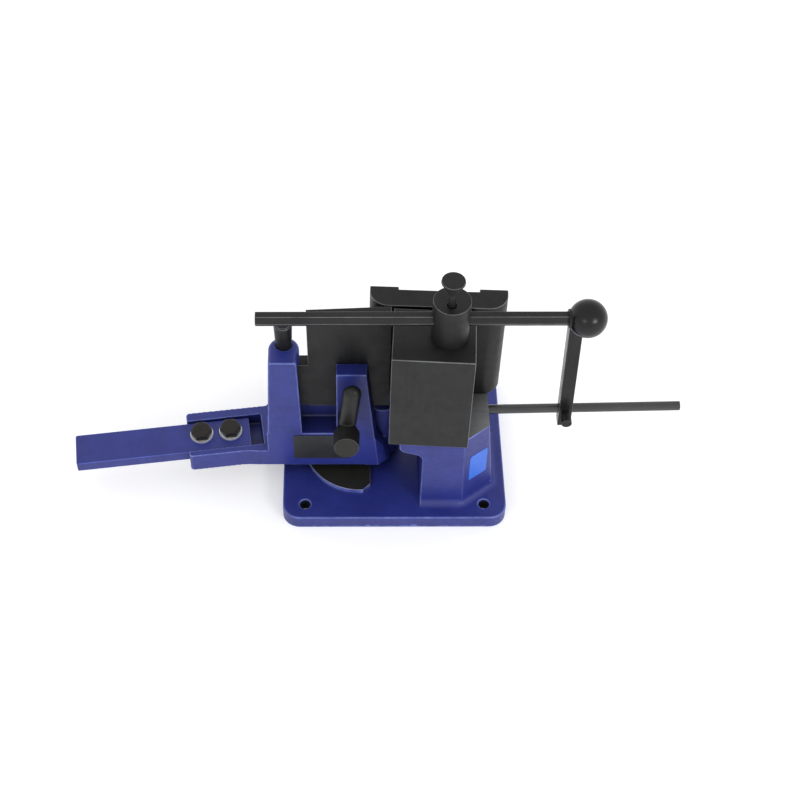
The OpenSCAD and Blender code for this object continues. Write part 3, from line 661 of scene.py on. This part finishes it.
class GrowTree:
    """A Geometry Nodes tree that is built in code, run once and turned into a plain mesh."""

    def __init__(self, name: str, inputs: dict[str, tuple[str, object]]) -> None:
        """Makes the tree with its named inputs.

        Args:
            name: The tree's name.
            inputs: Each input's socket type and value.
        """
        self.tree = bpy.data.node_groups.new(name, "GeometryNodeTree")
        self.tree.interface.new_socket("Geometry", in_out="OUTPUT", socket_type="NodeSocketGeometry")
        self.values = {key: value for key, (_, value) in inputs.items()}
        self.ids = {key: self.tree.interface.new_socket(key, in_out="INPUT", socket_type=kind).identifier
                    for key, (kind, _) in inputs.items()}
        self.inlet = self.tree.nodes.new("NodeGroupInput")

    def get(self, name: str) -> Socket:
        """Gives one of the tree's named inputs."""
        return self.inlet.outputs[name]

    def node(self, kind: str, links: dict[object, object], out: object = 0, **options: object) -> Socket:
        """Adds a node.

        Args:
            kind: The node's type.
            links: Its inputs, each a socket to link or a plain value.
            out: The output that is wanted.
            options: The node's properties.

        Returns:
            That output.
        """
        made = self.tree.nodes.new(kind)
        for key, value in options.items():
            setattr(made, key, value)
        for key, value in links.items():
            if isinstance(value, bpy.types.NodeSocket):
                self.tree.links.new(value, made.inputs[key])
            else:
                made.inputs[key].default_value = value
        return made.outputs[out]

    def join(self, *parts: Socket) -> Socket:
        """Joins several geometries."""
        made = self.tree.nodes.new("GeometryNodeJoinGeometry")
        for part in reversed(parts):
            self.tree.links.new(part, made.inputs[0])
        return made.outputs[0]

    def math(self, operation: str, first: object, second: object) -> Socket:
        """Adds a sum of two values."""
        return self.node("ShaderNodeMath", {0: first, 1: second}, operation=operation)

    def grow(self, name: str, result: Socket, finish: Finish) -> Piece:
        """Ends the tree and puts it on a new piece as a Geometry Nodes modifier.

        Args:
            name: The piece's name.
            result: The geometry that the tree makes.
            finish: The material that it sets.

        Returns:
            The piece.
        """
        real = self.node("GeometryNodeRealizeInstances", {0: result})
        dressed = self.node("GeometryNodeSetMaterial", {"Geometry": real, "Material": finish})
        outlet = self.tree.nodes.new("NodeGroupOutput")
        self.tree.links.new(dressed, outlet.inputs[0])
        piece = Workshop.add(name, bpy.data.meshes.new(name))
        run = piece.modifiers.new("Grow", "NODES")
        run.node_group = self.tree
        for key, value in self.values.items():
            run[self.ids[key]] = value
        return piece


@dataclass
class BaseCasting:
    """The base with its milled table, its fixing holes dark inside as painted shade, and the turned bearing
    pad.
    """

    shop: Workshop
    plate_t: float = 16.0
    spare: float = 4.0
    sink: float = 1.6
    near: float = 0.05
    hole_dx: float = 184.0
    hole_dy: float = 165.0
    hole_r: float = 5.5
    hole_rim: float = 0.9
    voxel: float = 0.85
    steep: float = 0.5
    # walls leaning further right than this keep the plain cast blue; the others take the lighter wall paint,
    # painted light
    turned_away: float = 0.4
    foot_r: float = 7.0
    foot_steps: int = 8
    foot_line: tuple[tuple[float, float], ...] = (
        (65.4, -81.0), (69.4, -81.0), (77.1, -75.4), (84.7, -69.7), (92.4, -64.1), (100.1, -58.5), 
        (100.8, -57.8), (101.3, -57.1), (101.6, -56.2), (101.7, -55.2), (101.7, -47.2))

    def __post_init__(self) -> None:
        """Reads the heights of the table and of the pad from the frame."""
        self.table_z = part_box("base_casting")[1].z / MM
        self.pad_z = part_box("thrust_washer")[0].z / MM

    def level(self, vert: bmesh.types.BMVert, height: float) -> bool:
        """Tells whether a corner lies at a height in millimetres."""
        return abs(vert.co.z / MM - height) < self.near

    def skin(self) -> Piece:
        """Makes the casting, milled flat on the table and underneath."""
        work = self.shop.merged_copy("base_casting")
        for vert in work.verts:
            if self.level(vert, self.table_z):
                vert.co.z += self.spare * MM
            elif self.level(vert, self.pad_z):
                vert.co.z = (self.plate_t - self.sink) * MM
            elif self.level(vert, 0.0):
                vert.co.z -= self.spare * MM
        self.add_foot(work)
        paint = self.shop.palette
        piece = self.shop.cast_skin("base_skin", work, self.voxel, 3, 0.30, paint.cast, paint.table, paint.bore)
        self.shop.faced(piece, (0, 0, self.table_z), (0, 0, 1), 1)
        self.shop.faced(piece, (0, 0, 0), (0, 0, -1), 0)
        # painted shade inside the fixing holes
        self.paint_hole_shade(piece)
        return piece

    def add_foot(self, work: bmesh.types.BMesh) -> None:
        """Adds the fillet where the column's chamfer and its round corner meet the plate."""
        line = [Vector(point) for point in self.foot_line]
        arc = [math.radians(180 + 90 * i / self.foot_steps) for i in range(self.foot_steps + 1)]
        outline = [(self.foot_r * (1 + math.cos(turn)), self.foot_r * (1 + math.sin(turn))) for turn in arc]
        outline += [(self.foot_r, -self.sink), (-self.spare, -self.sink), (-self.spare, self.foot_r)]
        rings = []
        for i, point in enumerate(line):
            along = (line[min(i + 1, len(line) - 1)] - line[max(i - 1, 0)]).normalized()
            ring = [Vector((point.x + along.y * out, point.y - along.x * out, self.plate_t + z)) * MM
                    for out, z in outline]
            rings.append([work.verts.new(place) for place in ring])
        made = [work.faces.new(rings[0]), work.faces.new(rings[-1])]
        for first, second in zip(rings, rings[1:]):
            for i in range(len(first)):
                j = (i + 1) % len(first)
                made.append(work.faces.new([first[i], first[j], second[j], second[i]]))
        bmesh.ops.recalc_face_normals(work, faces=made)

    def paint_hole_shade(self, piece: Piece) -> None:
        """Gives the walls of the fixing holes a dark finish: painted shade inside the holes."""
        for face in piece.data.polygons:
            x, y, z = face.center / MM
            reach = math.hypot(abs(x) - self.hole_dx / 2, abs(y) - self.hole_dy / 2)
            if reach < self.hole_r + self.hole_rim and z < self.plate_t - self.hole_rim:
                face.material_index = 2

    def pad(self) -> Piece:
        """Makes the bearing pad, turned on top and painted round its wall; walls facing front and left and the
        rounded rim are lighter, painted light.
        """
        work = self.shop.merged_copy("base_casting")
        others = [face for face in work.faces if not all(self.level(vert, self.pad_z) for vert in face.verts)]
        bmesh.ops.delete(work, geom=others, context="FACES")
        made = bmesh.ops.extrude_face_region(work, geom=work.faces[:])
        for item in made["geom"]:
            if isinstance(item, bmesh.types.BMVert):
                item.co.z = (self.plate_t - self.sink) * MM
        bmesh.ops.recalc_face_normals(work, faces=work.faces)
        for face in work.faces:
            # painted light: walls facing front and left take the lighter wall paint, walls turned right keep
            # the plain cast blue
            if abs(face.normal.z) < self.steep:
                face.material_index = 3 if face.normal.x > self.turned_away else 2
        paint = self.shop.palette
        return self.shop.rounded(self.shop.from_bmesh("bearing_pad", work, paint.pad, paint.pad_rim_highlight, paint.wall,
                                                      paint.cast), EdgeRound.FINE)

    def build(self) -> None:
        """Builds both pieces and hands them over."""
        self.shop.hand_over(self.skin(), "base", Slot.CAST, "base_casting")
        self.shop.hand_over(self.pad(), "base", Slot.CAST)


@dataclass
class YokeCasting:
    """The swinging yoke."""

    shop: Workshop
    voxel: float = 0.75

    def build(self) -> None:
        """Builds the yoke's skin and hands it over."""
        work = self.shop.merged_copy("swing_yoke")
        piece = self.shop.cast_skin("yoke_skin", work, self.voxel, 3, 0.40, self.shop.palette.cast)
        self.shop.hand_over(piece, "yoke", Slot.CAST, "swing_yoke")


@dataclass
class HandleSet:
    """The pulling handle with its two bolts, washers and nuts."""

    shop: Workshop
    across: float = 19.0
    tip_share: float = 0.45
    tip_angle: float = 60.0
    head_h: float = 7.0
    washer_d: float = 24.0
    washer_t: float = 2.4
    shank_d: float = 12.0
    nut_h: float = 8.5
    nut_washer_t: float = 1.5
    tail: float = 1.0
    hole_depth: float = 100.0
    round_steps: int = 72
    hole_steps: int = 48
    thread_gap: float = 0.02
    washer_gap: float = 0.3

    def __post_init__(self) -> None:
        """Reads the bolts' places and heights from the frame."""
        low, high = (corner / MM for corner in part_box("handle_washers"))
        inset = Vector((self.washer_d / 2, self.washer_d / 2, 0.0))
        first = high - inset
        self.first = (first.x, first.y, high.z - self.washer_t)
        self.floor_z = low.z + self.nut_washer_t
        self.step = Vector((*(low + inset - first).xy, 0.0))

    def row(self, name: str, part: Callable[[GrowTree], Socket], z: float, inputs: dict[str, float],
            finish: Finish) -> Piece:
        """Repeats a fastener along the handle.

        Args:
            name: The piece's name.
            part: Makes one fastener in the tree, standing on the ground at the origin.
            z: The height that it stands at, in millimetres.
            inputs: The fastener's sizes in millimetres.
            finish: Its material.

        Returns:
            The piece.
        """
        sockets = {key: ("NodeSocketFloat", value * MM) for key, value in inputs.items()}
        sockets["First Place"] = ("NodeSocketVector", (self.first[0] * MM, self.first[1] * MM, z * MM))
        sockets["Step"] = ("NodeSocketVector", tuple(self.step * MM))
        sockets["Count"] = ("NodeSocketInt", 2)
        sockets["Turn"] = ("NodeSocketVector", (0.0, 0.0, math.atan(self.step.y / self.step.x)))
        tree = GrowTree(f"{name}_row", sockets)
        line = tree.node("GeometryNodeMeshLine", {
            "Count": tree.get("Count"), "Start Location": tree.get("First Place"), "Offset": tree.get("Step")})
        spread = tree.node("GeometryNodeInstanceOnPoints", {
            "Points": line, "Instance": part(tree), "Rotation": tree.get("Turn")})
        return tree.grow(name, spread, finish)

    def hexagon(self, tree: GrowTree, low_chamfer: bool) -> Socket:
        """Makes a hexagon prism with turned corners.

        Args:
            tree: The tree, with the inputs Across Flats and Height.
            low_chamfer: Whether the lower corners are turned too.

        Returns:
            The prism, standing on the ground.
        """
        height = tree.get("Height")
        corner = tree.math("DIVIDE", tree.get("Across Flats"), 2 * math.cos(math.radians(30)))
        prism = tree.node("GeometryNodeMeshCylinder", {"Vertices": 6, "Radius": corner, "Depth": height})
        half = tree.node("ShaderNodeCombineXYZ", {2: tree.math("MULTIPLY", height, 0.5)})
        prism = tree.node("GeometryNodeTransform", {"Geometry": prism, "Translation": half})
        tip = tree.math("MULTIPLY", tree.get("Across Flats"), self.tip_share)
        slope = math.tan(math.radians(self.tip_angle))
        wide = tree.math("ADD", tip, tree.math("MULTIPLY", height, slope))
        for flip in ((False, True) if low_chamfer else (False,)):
            cone = tree.node("GeometryNodeMeshCone", {
                "Vertices": self.round_steps, "Radius Top": wide if flip else tip,
                "Radius Bottom": tip if flip else wide, "Depth": height})
            prism = HandleSet.common(tree, prism, cone)
        return prism

    @staticmethod
    def common(tree: GrowTree, first: Socket, second: Socket) -> Socket:
        """Keeps what two closed shapes share."""
        made = tree.tree.nodes.new("GeometryNodeMeshBoolean")
        made.operation = "INTERSECT"
        made.solver = "EXACT"
        tree.tree.links.new(first, made.inputs[1])
        tree.tree.links.new(second, made.inputs[1])
        return made.outputs[0]

    def bolt(self, tree: GrowTree) -> Socket:
        """Makes a bolt: a hexagon head on a round shank."""
        shank = tree.node("GeometryNodeMeshCylinder", {
            "Vertices": self.hole_steps, "Radius": tree.get("Shank Radius"),
            "Depth": tree.get("Shank Length")})
        down = tree.math("MULTIPLY", tree.get("Shank Length"), -0.5)
        shank = tree.node("GeometryNodeTransform", {
            "Geometry": shank, "Translation": tree.node("ShaderNodeCombineXYZ", {2: down})})
        return tree.join(self.hexagon(tree, False), shank)

    def bored(self, tree: GrowTree, body: Socket) -> Socket:
        """Cuts the hole, of the input Hole Radius, through a closed shape."""
        hole = tree.node("GeometryNodeMeshCylinder", {
            "Vertices": self.hole_steps, "Radius": tree.get("Hole Radius"), "Depth": self.hole_depth * MM})
        return tree.node("GeometryNodeMeshBoolean", {0: body, 1: hole}, operation="DIFFERENCE", solver="EXACT")

    def nut(self, tree: GrowTree) -> Socket:
        """Makes a hexagon nut with its hole."""
        return self.bored(tree, self.hexagon(tree, True))

    def washer(self, tree: GrowTree) -> Socket:
        """Makes a flat washer."""
        body = tree.node("GeometryNodeMeshCylinder", {
            "Vertices": self.round_steps, "Radius": tree.get("Outer Radius"), "Depth": tree.get("Height")})
        half = tree.node("ShaderNodeCombineXYZ", {2: tree.math("MULTIPLY", tree.get("Height"), 0.5)})
        body = tree.node("GeometryNodeTransform", {"Geometry": body, "Translation": half})
        return self.bored(tree, body)

    def finished(self, piece: Piece, style: EdgeRound, edge: Finish) -> Piece:
        """Rounds a row's edges and settles it."""
        self.shop.rounded(piece, style, 1)
        if len(piece.data.materials) < 2:
            piece.data.materials.append(edge)
        return piece

    def bar(self) -> Piece:
        """Makes the solid flat bar."""
        paint, shop = self.shop.palette, self.shop
        work = shop.merged_copy("handle_bar")
        bmesh.ops.delete(work, geom=work.edges[:] + work.faces[:], context="EDGES_FACES")
        bmesh.ops.convex_hull(work, input=work.verts[:])
        spare = [vert for vert in work.verts if not vert.link_faces]
        bmesh.ops.delete(work, geom=spare, context="VERTS")
        bmesh.ops.dissolve_limit(work, angle_limit=math.radians(1), verts=work.verts[:], edges=work.edges[:])
        bmesh.ops.recalc_face_normals(work, faces=work.faces)
        for face in work.faces:
            face.smooth = True
        # the rounded edges take the lighter bar paint, a painted highlight
        return shop.rounded(shop.from_bmesh("handle_bar_piece", work, paint.bar, paint.bar_edge_highlight), EdgeRound.BAR)

    def build(self) -> None:
        """Builds the bar and its fasteners."""
        paint, shop = self.shop.palette, self.shop
        shop.hand_over(self.bar(), "yoke", Slot.BAR, "handle_bar")
        top = self.first[2] + self.washer_t
        low = self.floor_z - self.nut_washer_t - self.nut_h
        bolts = self.row("handle_bolt_row", self.bolt, top, {
            "Across Flats": self.across, "Height": self.head_h, "Shank Radius": self.shank_d / 2,
            "Shank Length": top - low + self.tail}, paint.oxide)
        # the rounded edges take the lighter oxide: partly rubbed metal, partly painted highlight
        shop.hand_over(self.finished(bolts, EdgeRound.PLATE, paint.oxide_edge_rubbed_highlight), "yoke", Slot.FASTENER,
                       "handle_bolts")
        nuts = self.row("handle_nut_row", self.nut, low, {
            "Across Flats": self.across, "Height": self.nut_h,
            "Hole Radius": self.shank_d / 2 + self.thread_gap}, paint.oxide)
        shop.hand_over(self.finished(nuts, EdgeRound.PLATE, paint.oxide_edge_rubbed_highlight), "yoke", Slot.FASTENER,
                       "handle_nuts")
        sizes = {"Outer Radius": self.washer_d / 2, "Hole Radius": self.shank_d / 2 + self.washer_gap}
        upper = self.row("upper_washers", self.washer, self.first[2], {**sizes, "Height": self.washer_t},
                         paint.bright)
        lower = self.row("lower_washers", self.washer, self.floor_z - self.nut_washer_t,
                         {**sizes, "Height": self.nut_washer_t}, paint.bright)
        for piece, nodes in ((upper, ("handle_washers",)), (lower, ())):
            shop.hand_over(self.finished(piece, EdgeRound.PLATE, paint.bright), "yoke", Slot.BRIGHT, *nodes)


@dataclass
class ClampLever:
    """The moulded lever on the clamp screw and the cap in its front."""

    shop: Workshop
    tilt: float = 11.0
    spare: float = 2.0
    cap_r: float = 12.0
    plug_r: float = 10.6
    cap_t: float = 1.6
    cap_proud: float = 0.35
    near: float = 0.05
    voxel: float = 0.5

    def outward(self) -> Vector:
        """Gives the direction that the lever's front face looks in."""
        angle = math.radians(self.tilt)
        return Vector((0.0, -math.cos(angle), math.sin(angle)))

    def build(self) -> None:
        """Builds the lever's smooth body and its cap."""
        out = self.outward()
        low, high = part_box("clamp_cap")
        place = (low + high) / (2 * MM) + out * self.cap_t / 2
        work = self.shop.merged_copy("clamp_lever")
        for vert in work.verts:
            if abs((vert.co / MM - place).dot(out)) < self.near:
                vert.co += out * self.spare * MM
        paint = self.shop.palette
        body = self.shop.cast_skin("clamp_lever_body", work, self.voxel, 4, 0.5, paint.moulded, paint.rim)
        self.shop.faced(body, tuple(place), tuple(out), 0)
        self.shop.hand_over(body, "clamp", Slot.MOULDED, "clamp_lever")
        # the cap's rounded edges take the lighter rim finish, a painted highlight
        cap = self.shop.turned("clamp_face_cap", [
            (-self.cap_t, 0), (-self.cap_t, self.plug_r), (0.0, self.plug_r), (0.0, self.cap_r),
            (self.cap_proud, self.cap_r), (self.cap_proud, 0)], Axis.UP, (0, 0, 0), EdgeRound.PLATE,
            paint.disc, paint.rim)
        turn = Vector((0, 0, 1)).rotation_difference(out).to_matrix().to_4x4()
        cap.data.transform(Matrix.Translation(place * MM) @ turn)
        self.shop.hand_over(cap, "clamp", Slot.MOULDED, "clamp_cap")


@dataclass
class MachinedSet:
    """The pieces that keep their CAD form, with rounded edges, most in a lighter finish that is partly rubbed
    steel and partly painted highlight.
    """

    shop: Workshop

    def build(self) -> None:
        """Builds each piece and hands it over."""
        paint = self.shop.palette
        plan: Iterable[tuple[str, str, EdgeRound, Finish]] = (
            ("clamp_block", "block", EdgeRound.BLOCK, paint.tool),
            ("former", "base", EdgeRound.BLOCK, paint.tool),
            ("bending_wing", "wing", EdgeRound.FINE, paint.tool),
            ("hinge_pin", "pin", EdgeRound.FINE, paint.tool),
            ("eccentric_shaft", "eccentric", EdgeRound.FINE, paint.tool),
            ("lever_bar", "lever", EdgeRound.FINE, paint.lever),
            ("thumb_screw", "thumb", EdgeRound.FINE, paint.tool),
            ("stop_rod", "rod", EdgeRound.FINE, paint.rod),
            ("stop_arm", "arm", EdgeRound.FINE, paint.drawn),
            ("stop_screw", "stop_lock", EdgeRound.PLATE, paint.tool),
            ("rod_screw", "base", EdgeRound.FINE, paint.oxide),
            ("name_plate", "yoke", EdgeRound.PLATE, paint.plate),
            ("corner_plate", "base", EdgeRound.PLATE, paint.film),
        )
        special = {"rod_screw": (paint.oxide_edge_rubbed_highlight, Slot.FASTENER), "name_plate": (paint.oxide_edge_rubbed_highlight, Slot.PLATE),
                   "corner_plate": (paint.film, Slot.FILM)}
        for node, body, style, finish in plan:
            # rounded edges take the lighter edge finish: partly rubbed metal, partly painted highlight
            edge, slot = special.get(node, (paint.tool_edge_rubbed_highlight, Slot.TOOL))
            self.shop.hand_over(self.shop.machined(node, style, finish, edge), body, slot, node)


@dataclass
class BallKnob:
    """The polished ball on the cross lever, with its short collar."""

    shop: Workshop
    neck_d: float = 18.0
    bore_d: float = 13.9
    bore_len: float = 8.0
    arc_steps: int = 60

    def profile(self, radius: float) -> list[tuple[float, float]]:
        """Gives the outline from the bore's end, over the neck and the ball, to the far end."""
        neck, bore = self.neck_d / 2, self.bore_d / 2
        first = math.pi - math.asin(neck / radius)
        turns = [first * (1 - i / self.arc_steps) for i in range(self.arc_steps)]
        arc = [(radius + radius * math.cos(turn), radius * math.sin(turn)) for turn in turns]
        root = [(self.bore_len, 0), (self.bore_len, bore), (0.0, bore), (0.0, neck - 0.5), (0.5, neck)]
        return root + arc + [(2 * radius, 0)]

    def build(self) -> None:
        """Builds the knob and hands it over."""
        low, high = (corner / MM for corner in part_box("ball_knob"))
        middle = (low + high) / 2
        piece = self.shop.turned("ball_knob_piece", self.profile((high.z - low.z) / 2), Axis.RIGHT,
                                 (low.x, middle.y, middle.z), None, self.shop.palette.gloss)
        self.shop.hand_over(piece, "lever", Slot.GLOSS, "ball_knob")


@dataclass
class HiddenPieces:
    """The small pieces that keep their CAD node and get a finish."""

    shop: Workshop

    def build(self) -> None:
        """Gives each node its material."""
        paint = self.shop.palette
        plan = {"key_screws": paint.oxide, "pivot_shaft": paint.bright, "clamp_screw": paint.bright,
                "guide_key": paint.bright, "former_dowels": paint.bright, "thrust_washer": paint.bronze,
                "hub_bushes": paint.bronze}
        for node, material in plan.items():
            mesh = frame["nodes"][node].data
            mesh.materials.clear()
            mesh.materials.append(material)
            LOG.info("%s keeps its CAD form", node)


@dataclass
class Studio:
    """The floor, the light and the camera of the photograph."""

    focal: float = 69.262
    shift: tuple[float, float] = (0.06745, 0.00325)
    eye: Point = (-51.63, -990.72, 1320.85)
    pitch: float = 51.394
    yaw: float = 0.113
    floor_size: float = 6.0
    floor_drop: float = 0.0004
    paper: Colour = (0.86, 0.86, 0.87)
    glow: float = 0.30
    tent: tuple[float, float, float] = (0.7, 1.0, 0.88)
    lamp_aim: Point = (0.0, 0.0, 0.12)
    lamp_shape: float = 0.7
    lamps: dict[str, tuple[Point, float, float]] = field(default_factory=lambda: {
        "key_lamp": ((1.55, -1.95, 1.32), 0.8, 19.0),
        "fill_lamp": ((-0.95, -1.95, 1.40), 0.8, 5.5),
    })

    def floor(self) -> None:
        """Lays a plain pale floor that keeps the shadow."""
        mesh = bpy.data.meshes.new("floor")
        size = self.floor_size
        mesh.from_pydata([(-size, -size, 0), (size, -size, 0), (size, size, 0), (-size, size, 0)], [],
                         [(0, 1, 2, 3)])
        material = bpy.data.materials.new("floor_paper")
        material.use_nodes = True
        tree = material.node_tree
        shader = tree.nodes["Principled BSDF"]
        shader.inputs["Base Color"].default_value = (*self.paper, 1)
        shader.inputs["Roughness"].default_value = 0.9
        glow = tree.nodes.new("ShaderNodeEmission")
        glow.inputs["Color"].default_value = (1, 1, 1, 1)
        glow.inputs["Strength"].default_value = self.glow
        path = tree.nodes.new("ShaderNodeLightPath")
        add = tree.nodes.new("ShaderNodeAddShader")
        mix = tree.nodes.new("ShaderNodeMixShader")
        either = tree.nodes.new("ShaderNodeMath")
        either.operation = "MAXIMUM"
        tree.links.new(path.outputs["Is Camera Ray"], either.inputs[0])
        tree.links.new(path.outputs["Is Glossy Ray"], either.inputs[1])
        tree.links.new(shader.outputs[0], add.inputs[0])
        tree.links.new(glow.outputs[0], add.inputs[1])
        tree.links.new(either.outputs[0], mix.inputs[0])
        tree.links.new(shader.outputs[0], mix.inputs[1])
        tree.links.new(add.outputs[0], mix.inputs[2])
        tree.links.new(mix.outputs[0], tree.nodes["Material Output"].inputs["Surface"])
        mesh.materials.append(material)
        plane = Workshop.add("floor", mesh)
        plane.location.z = -self.floor_drop

    def lamp(self, name: str, place: Point, size: float, power: float) -> None:
        """Adds a large soft lamp that faces the machine.

        Args:
            name: The lamp's name.
            place: Where it hangs, in metres.
            size: Its width in metres.
            power: Its power in watts.
        """
        data = bpy.data.lights.new(name, "AREA")
        data.shape = "RECTANGLE"
        data.size = size
        data.size_y = size * self.lamp_shape
        data.energy = power
        lamp = bpy.data.objects.new(name, data)
        bpy.context.scene.collection.objects.link(lamp)
        lamp.location = place
        lamp.rotation_euler = (Vector(self.lamp_aim) - Vector(place)).to_track_quat("-Z", "Y").to_euler()

    def surroundings(self) -> None:
        """Gives the room: a white light tent, a little dimmer overhead."""
        world = bpy.data.worlds.new("room")
        bpy.context.scene.world = world
        world.use_nodes = True
        tree = world.node_tree
        background = tree.nodes["Background"]
        coords = tree.nodes.new("ShaderNodeTexCoord")
        split = tree.nodes.new("ShaderNodeSeparateXYZ")
        ramp = tree.nodes.new("ShaderNodeMapRange")
        tree.links.new(coords.outputs["Generated"], split.inputs[0])
        tree.links.new(split.outputs["Z"], ramp.inputs["Value"])
        for key, number in zip(("From Min", "From Max", "To Min", "To Max"), (0.0, *self.tent)):
            ramp.inputs[key].default_value = number
        tree.links.new(ramp.outputs[0], background.inputs["Strength"])
        background.inputs["Color"].default_value = (1, 1, 1, 1)

    def camera(self) -> None:
        """Sets the camera at the photograph's place."""
        data = bpy.data.cameras.new("photo_camera")
        data.lens = self.focal
        data.sensor_width = 36.0
        data.sensor_fit = "HORIZONTAL"
        data.shift_x, data.shift_y = self.shift
        data.clip_end = 50.0
        camera = bpy.data.objects.new("photo_camera", data)
        camera.location = Vector(self.eye) * MM
        camera.rotation_euler = (math.radians(90 - self.pitch), 0.0, math.radians(-self.yaw))
        bpy.context.scene.collection.objects.link(camera)
        bpy.context.scene.camera = camera

    def build(self) -> None:
        """Builds the whole studio."""
        bpy.context.scene.view_settings.view_transform = "Standard"
        self.floor()
        self.surroundings()
        for name, (place, size, power) in self.lamps.items():
            self.lamp(name, place, size, power)
        self.camera()


def main() -> None:
    """Builds the machine's looks, piece by piece, and then the studio."""
    logging.basicConfig(level=logging.INFO, format="%(name)s: %(message)s")
    shop = Workshop(Palette())
    for assembly in (BaseCasting(shop), YokeCasting(shop), HandleSet(shop), ClampLever(shop), MachinedSet(shop),
                     BallKnob(shop), HiddenPieces(shop)):
        assembly.build()
    Studio().build()


if __name__ == "__main__":
    main()
